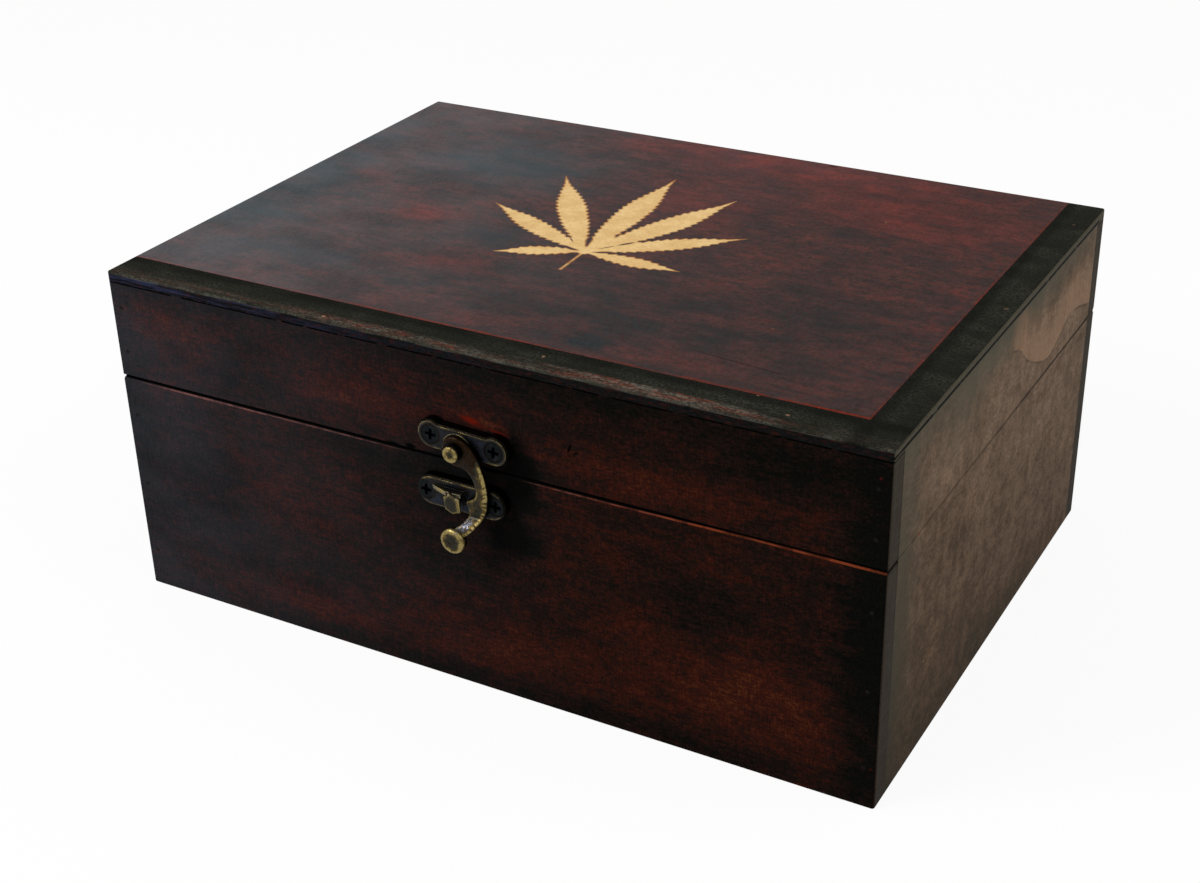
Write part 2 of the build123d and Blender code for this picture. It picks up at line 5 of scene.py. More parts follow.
import bmesh
import bpy
import numpy as np
from bpy.props import FloatProperty, FloatVectorProperty, PointerProperty
from bpy.types import Operator, Panel, PropertyGroup
from mathutils import Matrix, Vector


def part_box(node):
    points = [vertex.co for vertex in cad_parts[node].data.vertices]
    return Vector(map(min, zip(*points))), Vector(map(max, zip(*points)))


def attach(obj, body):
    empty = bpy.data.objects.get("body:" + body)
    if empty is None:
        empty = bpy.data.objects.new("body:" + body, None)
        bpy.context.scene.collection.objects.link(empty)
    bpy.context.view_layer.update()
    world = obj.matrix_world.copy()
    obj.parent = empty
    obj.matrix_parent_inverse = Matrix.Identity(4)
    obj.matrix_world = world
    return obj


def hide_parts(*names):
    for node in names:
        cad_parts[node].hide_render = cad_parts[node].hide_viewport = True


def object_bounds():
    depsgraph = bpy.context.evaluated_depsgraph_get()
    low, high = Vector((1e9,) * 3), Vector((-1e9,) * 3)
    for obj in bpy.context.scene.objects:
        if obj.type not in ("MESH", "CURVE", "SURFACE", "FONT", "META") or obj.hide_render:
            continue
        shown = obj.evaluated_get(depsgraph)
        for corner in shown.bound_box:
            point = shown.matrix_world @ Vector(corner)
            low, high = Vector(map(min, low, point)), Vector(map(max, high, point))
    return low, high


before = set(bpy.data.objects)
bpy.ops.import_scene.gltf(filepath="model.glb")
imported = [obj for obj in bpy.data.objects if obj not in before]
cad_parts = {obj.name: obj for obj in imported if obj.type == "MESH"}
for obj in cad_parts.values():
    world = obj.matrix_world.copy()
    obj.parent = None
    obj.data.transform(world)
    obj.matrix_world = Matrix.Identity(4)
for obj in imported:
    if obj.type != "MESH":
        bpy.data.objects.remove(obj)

cad_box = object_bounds()

bl_info = {
    "name": "Antique Box",
    "version": (1, 0),
    "blender": (4, 5, 0),
    "location": "3D View > Sidebar > Box",
    "description": "Finishes the pieces of a stained wooden box with a swing-hook clasp",
    "category": "Add Mesh",
}

mm = 0.001


# ---- Settings -------------------------------------------------------------------------------
def linear(hex_colour):
    """An sRGB colour written as six hex digits, as linear RGBA."""
    channels = np.array([int(hex_colour[i : i + 2], 16) for i in (0, 2, 4)]) / 255
    raised = ((channels + 0.055) / 1.055) ** 2.4
    return (*np.where(channels <= 0.04045, channels / 12.92, raised).tolist(), 1.0)


def colour(name, description, hex_colour):
    """A colour property."""
    return FloatVectorProperty(name=name, description=description, subtype="COLOR", size=4,
                               min=0.0, max=1.0, default=linear(hex_colour))


class WoodSettings(PropertyGroup):
    """Colours of the boards and veneers."""

    bare: colour("Bare wood", "Unstained hardwood inside the box", "ab8760")
    bare_dark: colour("Bare grain", "Darker grain lines of the unstained wood", "7a5636")
    worn: colour("Worn stain", "Warm brown where the stain is rubbed thin", "4a2614")
    red: colour("Red stain", "Mahogany red of the stain itself", "33140d")
    brown: colour("Deep stain", "Where the stain has gathered", "1a0f0c")
    black: colour("Black stain", "Black overlaps and ends", "090907")
    # Also painted shade below the seam, and a painted shadow beside the clasp.
    gap: colour("Gap", "Open joints and the grime in them", "010101")
    # Painted reflection of the light at the left, bluish, on the long boards.
    front_reflection: colour("Front bloom", "Bluish bloom at the left of the front", "202328")
    red_line: colour("Red line", "Red line round the lid's veneer", "6a2618")
    edge: colour("Rubbed edge", "Orange-red line where an edge is rubbed", "70321c")
    # The rubbed seam line's tone under the painted reflection at the left.
    edge_under_reflection: colour("Pale rubbed edge", "The same line under the bloom", "64423f")
    crimson: colour("Crimson", "Bare patch of the stain beside the clasp", "5a1408")
    field_red: colour("Field red", "Red streaks of the lid's veneer", "78352e")
    field_brown: colour("Field brown", "Middle tone of the lid's veneer", "413330")
    field_black: colour("Field black", "Black stain over the lid's red", "282b2c")
    # Painted reflection of the light at the left, on the lid.
    field_reflection: colour("Field bloom", "Blue-grey bloom at the left of the lid", "41474b")
    band: colour("Band", "Ebonised border of the lid", "171813")
    band_grey: colour("Band grey", "Grey cracks of the rubbed border", "5e5c52")
    band_red: colour("Band red", "Red cracks of the rubbed border", "6a3a2e")
    panel_edge: colour("Panel edge", "Stained edge of the lid's panel", "131415")
    # Painted reflection, deep blue, on the left of the panel's edge.
    panel_reflection: colour("Panel bloom", "Deep blue bloom at the left of that edge", "1b2036")
    end_grain: colour("End grain", "Olive cut ends of the long boards", "35322a")
    peach: colour("Peach", "Pale figure, and flecks of bare wood", "8a6a52")
    side_olive: colour("Side olive", "Olive cast towards the ends' edges", "4b473b")
    side_light: colour("Side light", "Peach figure of the end boards", "74604f")
    side_brown: colour("Side brown", "Middle tone of the end boards", "4f3d2f")
    side_dark: colour("Side dark", "Olive grey edges of the end boards", "2a251b")
    leaf: colour("Leaf", "Pale inlaid wood", "e8c68a")
    leaf_shade: colour("Leaf shade", "Darker grain of the inlay", "cfa566")
    leaf_rim: colour("Leaf rim", "Scorched edge of the inlay", "8c5426")
    leaf_gap: colour("Leaf gap", "Dark line between two leaflets", "3c2412")


class ClaspSettings(PropertyGroup):
    """Colours of the metal pieces."""

    brass: colour("Rubbed brass", "Bright edges of the old casting", "8a7a4c")
    # Grey rims are a painted highlight of cold light on the plates' rounded shoulders.
    grey: colour("Rubbed grey", "Rims of the plates where the light is cold", "62635c")
    bronze: colour("Bronze", "Brown between a rubbed edge and a flat", "44381f")
    brown: colour("Brown patina", "Brown cast of the flats", "1a1510")
    olive: colour("Olive patina", "Flats of the hook", "2b2a22")
    eye: colour("Eye", "Brown-black round the hook's rivet", "20150c")
    glint: colour("Glint", "Cold shine on the bend of the hook", "5e5f6c")
    patina: colour("Patina", "Blue-black flats of the plates", "1f2021")
    blue: colour("Blue patina", "Bluest part of the flats", "1e2430")
    # Also painted shade on the plates' walls, in the countersinks and under the rivet's head.
    dark: colour("Dark patina", "Brown-black hollows of the casting", "0c0a07")
    # Painted shade in the screws' cross recesses.
    black: colour("Black", "Screw recesses", "020203")
    steel: colour("Blued steel", "Screw heads", "101416")
    brad: colour("Brad steel", "Heads of the brads", "171412")
    hinge: colour("Hinge brass", "Plain rolled brass of the hinges", "a3824a")


class StageSettings(PropertyGroup):
    """The camera, the lights and the floor."""

    azimuth: FloatProperty(name="Azimuth", description="Camera's turn from the front",
                           subtype="ANGLE", default=radians(29.79))
    elevation: FloatProperty(name="Elevation", description="Camera's height above the horizon",
                             subtype="ANGLE", default=radians(28.133))
    roll: FloatProperty(name="Roll", description="Camera's turn about its own axis",
                        subtype="ANGLE", default=radians(-1.373))
    position: FloatVectorProperty(name="Position", description="Camera's place", subtype="XYZ",
                                  unit="LENGTH", default=(0.251197, -0.452189, 0.314215))
    lens: FloatProperty(name="Lens", description="Focal length on a 36 mm sensor",
                        subtype="DISTANCE_CAMERA", default=56.69)
    floor: colour("Floor", "Plain pale floor", "f2f2f2")
    ambient: FloatProperty(name="Ambient", description="Light from all round", min=0.0,
                           default=0.45)
    key: FloatProperty(name="Key light", description="Power of the soft light at the left",
                       subtype="POWER", default=16.0)
    fill: FloatProperty(name="Fill light", description="Power of the soft light at the right",
                        subtype="POWER", default=7.0)


# ---- Nodes ----------------------------------------------------------------------------------
feeding = (bpy.types.Node, bpy.types.NodeSocket)
# A MapRange turns its value, socket 0, into 0 at socket 1 and 1 at socket 2, or into 3 and 4.
smooth = {"interpolation_type": "SMOOTHSTEP"}


def add(kind, sockets=None, stops=None, tree=None, **settings):
    """Adds a node, to the tree of what feeds it unless a tree is named. Its sockets are given
    by name or number, each a value, the output that feeds it or a node whose first output
    does, and the stops of a colour ramp are pairs of a place and a colour."""
    sockets = sockets or {}
    tree = tree or next(v.id_data for v in sockets.values() if isinstance(v, feeding))
    node = tree.nodes.new("ShaderNode" + kind)
    for name, value in settings.items():
        setattr(node, name, value)
    if stops:
        elements = node.color_ramp.elements
        while len(elements) < len(stops):
            elements.new(1.0)
        for element, (place, value) in zip(elements, stops):
            element.position, element.color = place, value
    for name, value in sockets.items():
        if isinstance(value, feeding):
            output = value.outputs[0] if isinstance(value, bpy.types.Node) else value
            tree.links.new(output, node.inputs[name])
        else:
            node.inputs[name].default_value = value
    return node


def emptied(owner):
    """The node tree of a material or a world, with nothing in it."""
    owner.use_nodes = True
    owner.node_tree.nodes.clear()
    return owner.node_tree


def blank(name):
    """A new material, and the piece's own coordinates in millimetres, as a vector and as x, y
    and z."""
    material = bpy.data.materials.new(name)
    metres = add("TexCoord", tree=emptied(material)).outputs["Object"]
    place = add("VectorMath", {0: metres, "Scale": 1 / mm}, operation="SCALE")
    return material, place, *add("SeparateXYZ", {0: place}).outputs


def finished(material, colours, surface, roughness, height, depth, rounding=0.0):
    """Ends a material in its shader, with a surface's settings. It is raised by the height's 0
    to 1, depth millimetres in all, and its sharp edges look rounded to that radius in
    millimetres."""
    bump = {"Height": height, "Distance": depth * mm, "Strength": 1.0}
    if rounding:
        radius = {"Radius": rounding * mm}
        bump["Normal"] = add("Bevel", radius, tree=material.node_tree, samples=8)
    sockets = {"Base Color": colours, "Roughness": roughness, "Normal": add("Bump", bump)}
    add("OutputMaterial", {0: add("BsdfPrincipled", {**sockets, **surface})})
    return material


def grain(place, size, low=0.3, high=0.7, shift=0.0, detail=3.0):
    """Noise as 0 below low and 1 above high, with lumps about size millimetres across, or along
    x, y and z."""
    scale = (1 / np.broadcast_to(size, 3)).tolist()
    scaled = add("Mapping", {"Vector": place, "Location": (shift,) * 3, "Scale": scale})
    lumps = {"Vector": scaled, "Scale": 1.0, "Detail": detail, "Roughness": 0.55}
    noise = add("TexNoise", lumps)
    return add("MapRange", {0: noise, 1: low, 2: high}, **smooth)


def between(value, low, high, soft):
    """1 where the value lies from low to high, with edges that are soft millimetres wide."""
    rise, fall = (
        add("MapRange", {0: value, 1: start, 2: end}, **smooth)
        for start, end in ((low - soft / 2, low + soft / 2), (high + soft / 2, high - soft / 2))
    )
    return product(rise, fall)


def patch(place, centre, radii, turn=0.0, edge=1.0):
    """A round patch, 1 at its centre and 0 from its radii outward, with its soft edge as a
    share of them. It may be turned, in degrees, within the face that it lies on: its longest
    radius is the one that points into the wood."""
    turns = [0.0] * 3
    turns[radii.index(max(radii))] = radians(turn)
    share = add("Mapping", {"Vector": place, "Location": centre, "Rotation": turns,
                            "Scale": radii}, vector_type="TEXTURE")
    reach = add("VectorMath", {0: share}, operation="LENGTH").outputs["Value"]
    return add("MapRange", {0: reach, 1: 1.0, 2: 1.0 - edge}, **smooth)


def product(first, *others):
    """The product of masks."""
    total = first
    for mask in others:
        total = add("Math", {0: total, 1: mask}, operation="MULTIPLY")
    return total


def weighed(start, *terms):
    """A start value plus each term's mask times its weight."""
    total = start
    for mask, weight in terms:
        total = add("Math", {0: mask, 1: weight, 2: total}, operation="MULTIPLY_ADD")
    return total


def layered(ground, *layers):
    """Colours laid over a ground in order, each by the product of its masks."""
    top = ground
    for paint, *masks in layers:
        sockets = {0: product(*masks), 6: top, 7: paint}
        top = add("Mix", sockets, data_type="RGBA").outputs[2]
    return top


def painted_reflection(colours, reflection, mask):
    """Adds a painted reflection of the light at the left, bluish, by a mask."""
    return add("Mix", {0: mask, 6: colours, 7: reflection}, data_type="RGBA",
               blend_type="ADD").outputs[2]


def shaded(colours, *terms):
    """Colours made lighter and darker alike, with no change of hue: times 1 plus each term's
    mask, less a half, times its weight."""
    strength = weighed(1 - sum(weight for _, weight in terms) / 2, *terms)
    return add("VectorMath", {0: colours, "Scale": strength}, operation="SCALE")


def wandering(place, reach, size):
    """The place pushed about by up to reach millimetres along each axis, in lumps of that size,
    so that what is drawn by it gets an uneven outline."""
    scaled = add("Mapping", {"Vector": place, "Scale": [1 / s for s in size]})
    noise = add("TexNoise", {"Vector": scaled, "Scale": 1.0, "Detail": 4.0}).outputs[1]
    centred = add("VectorMath", {0: noise, 1: (0.5, 0.5, 0.5)}, operation="SUBTRACT")
    return add("VectorMath", {0: centred, 1: [2 * r for r in reach], 2: place},
               operation="MULTIPLY_ADD")


def shown_rays(tree):
    """1 for light that reaches the camera straight, by a mirror or through glass."""
    rays = add("LightPath", tree=tree).outputs
    seen = add("Math", {0: rays["Is Camera Ray"], 1: rays["Is Glossy Ray"]},
               operation="MAXIMUM")
    return add("Math", {0: seen, 1: rays["Is Transmission Ray"]}, operation="MAXIMUM")


# ---- Wood -----------------------------------------------------------------------------------
waxed = {"Specular IOR Level": 0.005}  # old wax, rubbed dull
polished = {"Specular IOR Level": 0.05}
half_width, half_depth, _ = cad_box[1] / mm
board = half_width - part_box("base_right_board")[0].x / mm
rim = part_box("base_front_board")[1].z / mm
rail_top, veneer_seat = (corner.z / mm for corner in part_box("lid_top_panel"))
field_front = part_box("lid_field_veneer")[0].y / mm
field_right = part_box("lid_field_veneer")[1].x / mm
far = 1000.0  # millimetres, past the box in a direction that a patch doesn't depend on

# Each row of a table is a soft round patch: its place and its reach along the face's two axes
# in millimetres, then how much, and sometimes its turn in degrees. The long boards' are in x
# and z, the lid's in x and y, and the end boards' in y and z.
# Where the front's stain is thinner, below 0, or thicker.
front_patches = (
    (74, 24, 58, 22, -0.3), (98, 18, 24, 16, -0.1), (10, 15, 60, 17, -0.18),
    (-60, 10, 60, 10, -0.16), (-68, 48, 22, 16, -0.1), (40, 60, 40, 20, -0.06),
    (8, 86, 16, 3, -0.3), (-102, 90, 26, 10, -0.24), (-38, 84, 30, 8, -0.28),
    (55, 80, 60, 9, -0.2), (118, 50, 15, 90, 0.5), (98, 94, 44, 14, 0.3),
    (20, 100, 90, 7, 0.26), (-80, 101, 60, 4, 0.24), (-75, 80, 26, 8, 0.16),
    (-118, 60, 12, 70, 0.2), (-96, 40, 34, 40, 0.14), (0, 2, 140, 7, 0.22),
    (-10, 50, 40, 30, 0.16), (72, 44, 18, 12, 0.16), (74, 30, 4, 20, 0.14, 20),
    (-20, 66, 70, 8, 0.16),
)
# Painted shadow of the clasp, to its right and below it, with some dirt from hands.
clasp_shadow_and_grime_patches = (
    (17, 71, 8, 18, 0.75), (14, 52, 12, 8, 0.6), (-2, 71, 22, 4, 0.35),
)
# Dark marks of the front, the last two rows a painted shadow right of the clasp and below it,
# and crimson ones where the stain is rubbed off.
front_marks_and_clasp_shadow = (
    (-17.6, 73.0, 2.4, 1.1, 0.95), (-23.5, 72.6, 3.0, 0.5, 0.8),
    (32.4, 84.2, 0.6, 1.8, 0.9, 20), (34.2, 83.2, 1.4, 0.4, 0.8, -40), (16, 73, 8, 15, 0.6),
    (13, 54, 9, 12, 0.45),
)
front_rubs = (
    (2.6, 85.3, 5.2, 1.5, 1.3, 12), (10.5, 83.8, 5, 0.6, 0.9, 7), (117, 97, 0.6, 0.6, 0.5),
    (118.5, 12.5, 0.6, 0.6, 0.5),
)
# The light line that runs below the seam, which lies lower at the left.
seam_rubs = (
    (-88, 71.55, 30, 0.34, 1.1), (-48, 71.6, 34, 0.28, 0.6), (34, 71.6, 20, 0.26, 0.6),
    (60, 71.6, 24, 0.3, 0.7), (78, 71.55, 24, 0.34, 0.5), (112, 71.5, 34, 0.36, 1.0),
)
# The red of the lid's field, and the black stain over it.
field_red_patches = (
    (18, 78, 95, 20, 0.62), (70, 55, 60, 34, 0.4), (10, 40, 34, 40, 0.3),
    (-62, -7, 22, 11, 0.5), (-98, 14, 14, 8, 0.4), (-36, -38, 22, 9, 0.36),
    (40, -64, 40, 12, 0.16), (-15, -66, 40, 10, 0.16), (104, 0, 2, 80, 0.2),
)
field_black_patches = (
    (-62, 42, 50, 36, 0.6), (64, 32, 18, 8, 0.5), (24, -67, 14, 7, 0.55),
    (-30, -16, 40, 12, 0.4), (70, -22, 40, 20, 0.35), (-60, -52, 50, 14, 0.3),
    (40, -50, 110, 34, 0.32), (-118, 0, 34, 100, 0.6), (-90, -40, 40, 30, 0.2),
    (10, -30, 60, 20, 0.16),
)
# Where the border is rubbed back, where the red line is whole, and where more painted
# reflection lies on the lid.
band_rubs = (
    (10, -84, 80, 3.2, 0.5), (58, -84, 40, 3.4, 0.7), (-70, -84.5, 60, 2.6, 0.25),
)
line_patches = (
    (-8, -74, 50, 20, 0.6), (90, -74, 34, 20, 0.5),
)
reflection_patches = (
    (-62, 42, 46, 30, 0.26), (20, 80, 90, 16, 0.1),
)
# Where the ends' stain is lighter, above 0, or darker.
end_patches = (
    (-50, 84, 34, 14, 0.16), (60, 98, 60, 12, -0.34), (76, 76, 16, 20, -0.14),
    (22, 80, 20, 8, 0.12), (0, 2, 120, 12, -0.1), (-33, 53, 10, 8, -0.26),
    (27, 46, 6, 7, -0.22), (0, 8, 90, 12, -0.1), (-54, 99, 12, 4, -0.2),
    (-82, 50, 16, 120, -0.26), (86, 50, 6, 80, -0.3), (20, 60, 50, 12, 0.1),
)
# The olive cast of the ends.
end_olive_patches = (
    (-82, 50, 26, 130, 1.0), (0, 106, 140, 17, 1.5), (0, 0, 110, 12, 0.5),
    (-36, 90, 30, 14, 0.5), (88, 60, 14, 90, 0.6),
)
# Dark marks, light strokes and red specks of the ends.
end_marks = (
    (-81, 42, 0.7, 5, 0.7), (-28, 44, 0.5, 6, 0.3, 12), (6, 58, 0.5, 9, 0.3, -10),
    (-10, 34, 0.5, 8, 0.25, 8), (84, 75, 2.0, 0.7, 0.9),
)
end_lights = (
    (-36.5, 84.5, 0.7, 5, 0.5), (-16, 68, 0.9, 5, 0.35), (-54.5, 27.5, 0.5, 2.2, 0.6),
    (-46, 78, 5, 4, 0.3), (-24, 60, 6, 9, 0.22),
)
end_specks = (
    (-65, 71.5, 0.6, 0.6, 0.9), (-51, 28, 0.3, 1.6, 0.5),
)
# Light specks and dark scratches of the lid, and light specks of its border.
lid_specks = (
    (66.8, -37.2, 0.5, 0.5, 0.3), (65.5, 46.3, 0.5, 0.5, 0.6), (-30, 20, 0.4, 0.4, 0.2),
    (12, 64, 0.4, 0.4, 0.2),
)
lid_scratches = (
    (67, -59.5, 22, 0.35, 0.5, -6), (32.7, 84.2, 2.2, 0.7, 0.8),
    (-72, -30, 18, 0.3, 0.25, 4), (60, -34, 12, 0.3, 0.25, 14),
)
band_specks = (
    (-44.8, -83.8, 0.9, 0.7, 0.9), (21.3, -78.8, 0.5, 0.8, 0.8),
    (90.5, -80.5, 0.8, 0.6, 0.7), (79.7, -74.2, 0.6, 0.5, 0.4),
    (115.5, 68.8, 0.5, 0.5, 0.4), (117.2, 2.2, 0.8, 0.6, 0.4),
)
# Where two leaflets part only as a sawn line.
leaf_gaps = (
    (4.2, -2.4, 3.9, 0.75, 0.95, 51.6), (0.4, -7.3, 3.6, 0.42, 0.8, 51.6),
    (-11.8, -6.7, 2.2, 0.4, 0.85, -46),
)
# The lower edge of the pale figure at the back of the right end, as y and z.
figure_from, figure_to = -2.0, 84.0
figure_low, figure_rise = 70.0, 30.0
figure_edge = (
    (-2, 95), (10, 90), (16.7, 84), (26.7, 79), (36.7, 75.4), (43.3, 75.8), (51.7, 80.4),
    (60, 82), (70, 79.7), (80, 76),
)


def patches(place, depends_on, table, edge=1.0):
    """Each row of a table of patches as a mask and its weight. depends_on names the two axes
    that the row's place and reaches run along."""
    first, second = ("xyz".index(axis) for axis in depends_on)
    terms = []
    for along, across, reach_along, reach_across, weight, *turn in table:
        centre, radii = [0.0] * 3, [far] * 3
        centre[first], centre[second] = along, across
        radii[first], radii[second] = reach_along, reach_across
        terms.append((patch(place, centre, radii, *turn, edge=edge), weight))
    return terms


def drawn(place, depends_on, table, edge=0.6):
    """One mask from a table of patches, each as strong as its weight."""
    return weighed(0.0, *patches(place, depends_on, table, edge))


def raw_inside(place, x, y, wood, stained, across="z"):
    """Stain outside, which fades out over the rims, and bare wood on the inner faces, with its
    growth lines, broader bands and pores lying across the axis named."""

    def lines(width, length, low, high, shift):
        size = [length] * 3
        size["xyz".index(across)] = width
        return grain(place, size, low, high, shift)

    beyond = []
    for value, half in ((x, half_width), (y, half_depth)):
        out = add("Math", {0: value}, operation="ABSOLUTE")
        beyond.append(add("Math", {0: out, 1: half - board}, operation="SUBTRACT"))
    outward = add("Math", {0: beyond[0], 1: beyond[1]}, operation="MAXIMUM")
    ragged = grain(place, 2.5, 0.25, 0.75, detail=5.0)
    reached = weighed(outward, (ragged, 1.0))
    outside = add("MapRange", {0: reached, 1: 0.45 * board, 2: 0.9 * board}, **smooth)
    figure = weighed(0.0, (lines(0.8, 45, 0.42, 0.72, 7.0), 0.45),
                     (lines(7, 90, 0.3, 0.7, 2.2), 0.4), (lines(0.4, 5, 0.56, 0.7, 5.4), 0.4))
    bare = layered(wood.bare, (wood.bare_dark, figure))
    return layered(bare, (stained, outside))


def reflection_toward_left(place, x, clear):
    """1 at the left end, falling to 0 where x is clear as the square of the way, with cloudy
    variation and a fine cross hatch: the mask of a painted reflection of the light at the left."""
    fade = add("MapRange", {0: x, 1: clear, 2: -half_width})
    clouds = grain(place, (30, 22, 18), shift=6.1)
    hatch = grain(place, (0.5, 3.5, 5.0), shift=8.8)
    dust = grain(place, 0.6, shift=0.7)
    uneven = weighed(0.42, (clouds, 0.5), (hatch, 0.2), (dust, 0.24))
    return product(fade, fade, uneven)


def stained_board(name, wood):
    """Plain hardwood board, flooded with a mahogany stain that was dabbed and wiped along the
    grain, under old wax: red where the wood took it thinly, black where it gathered, and fine
    light and dark grain all over. The finest grain is drawn as coarse as it shows."""
    material, place, x, y, z = blank(name)
    loose = wandering(place, (9, 9, 4), (14, 14, 3.5))
    clouds = grain(place, (24, 24, 10), shift=3.1)
    clumps = grain(place, (5, 5, 2.8), 0.35, 0.65, 4.6, 5.0)
    streaks = grain(place, (13, 13, 1.6), shift=1.7)
    dashes = grain(place, (1.9, 1.9, 0.8), 0.33, 0.67, 5.3)
    hatch = grain(place, (0.5, 3, 5), shift=2.6)
    specks = grain(place, (0.6, 0.6, 0.55), shift=9.2)
    dust = grain(place, (0.55, 0.55, 0.5), shift=7.9, detail=1.0)
    front = between(y, -half_depth - 1, -half_depth + 0.7, 0.2)
    density = weighed(
        0.12, *patches(loose, "xz", front_patches),
        # Painted shadow of the clasp, as thicker stain.
        (drawn(loose, "xz", clasp_shadow_and_grime_patches, 1.0), front),
        (clouds, 0.14), (clumps, 0.20), (streaks, 0.12), (dashes, 0.22), (hatch, 0.10),
        (specks, 0.14),
    )
    stained = add("ValToRGB", {0: density}, stops=[
        (0.0, wood.worn), (0.28, wood.red), (0.6, wood.brown), (0.9, wood.black)
    ])
    stained = layered(stained, (wood.black, hatch, dust, 0.3))
    stained = shaded(stained, (dust, 0.5), (clumps, 0.12))
    # Painted reflection of the light at the left.
    stained = painted_reflection(stained, wood.front_reflection, reflection_toward_left(place, x, 60.0))
    # Painted shade, black, fills the top of the base below the seam, where the lid's edge
    # shades it, deepest at the left, and the rubbed line below it has the tone of the painted
    # reflection there.
    drop = add("MapRange", {0: x, 1: 85.0, 2: 45.0, 3: 0.3, 4: 0.65})
    lowered_z = add("Math", {0: z, 1: drop}, operation="ADD")
    lowered = add("CombineXYZ", {0: x, 1: y, 2: lowered_z})
    rubbed = product(
        front, drawn(lowered, "xz", seam_rubs),
        weighed(0.3, (grain(place, 3, 0.36, 0.6, detail=5.0), 0.8)),
    )
    # The rubbed line is paler at the left, under the painted reflection.
    reflected_share = add("MapRange", {0: x, 1: 70.0, 2: 0.0})
    rubbed_tone = layered(wood.edge, (wood.edge_under_reflection, reflected_share))
    grime_and_shade = product(
        between(lowered_z, rim - 0.05, rim + 3, 0.25),
        between(z, rim - 2, rim + 0.5, 0.15),
        between(y, -half_depth - 1, half_depth, 0.3),
    )
    joint = product(between(z, rail_top - 0.45, rail_top + 0.2, 0.15),
                    grain(place, 7, 0.36, 0.44, 6.6))
    out_x = add("Math", {0: x}, operation="ABSOLUTE")
    out_y = add("Math", {0: y}, operation="ABSOLUTE")
    inward = add("Math", {0: half_depth, 1: out_y}, operation="SUBTRACT")
    rings = grain(place, (9, 0.7, 60), 0.4, 0.7, 5.5)
    downward = add("MapRange", {0: z, 1: 110.0, 2: -20.0})
    end_cut = layered(
        wood.end_grain,
        (wood.red, rings, 0.6),
        (wood.side_olive, streaks, 0.3),
        (wood.black, specks, 0.35),
        (wood.brown, downward, 0.55),
        (wood.black, between(inward, board - 0.4, board + 1, 0.3), 0.5),
    )
    bared = product(front, weighed(0.5, (clumps, 0.6)),
                    drawn(place, "xz", front_rubs, 0.9))
    outside = layered(
        stained,
        # Dark marks, and the painted shadow beside the clasp.
        (wood.gap, front, drawn(place, "xz", front_marks_and_clasp_shadow)),
        (wood.crimson, bared),
        (rubbed_tone, rubbed),
        # Painted shade below the seam.
        (wood.gap, grime_and_shade),
        (end_cut, between(out_x, half_width - 0.2, half_width + 1, 0.2)),
        (wood.gap, joint),
    )
    colours = raw_inside(place, x, y, wood, outside)
    fine = weighed(0.0, (dashes, 0.5), (specks, 0.5))
    return finished(material, colours, waxed, 0.45, fine, depth=0.04)


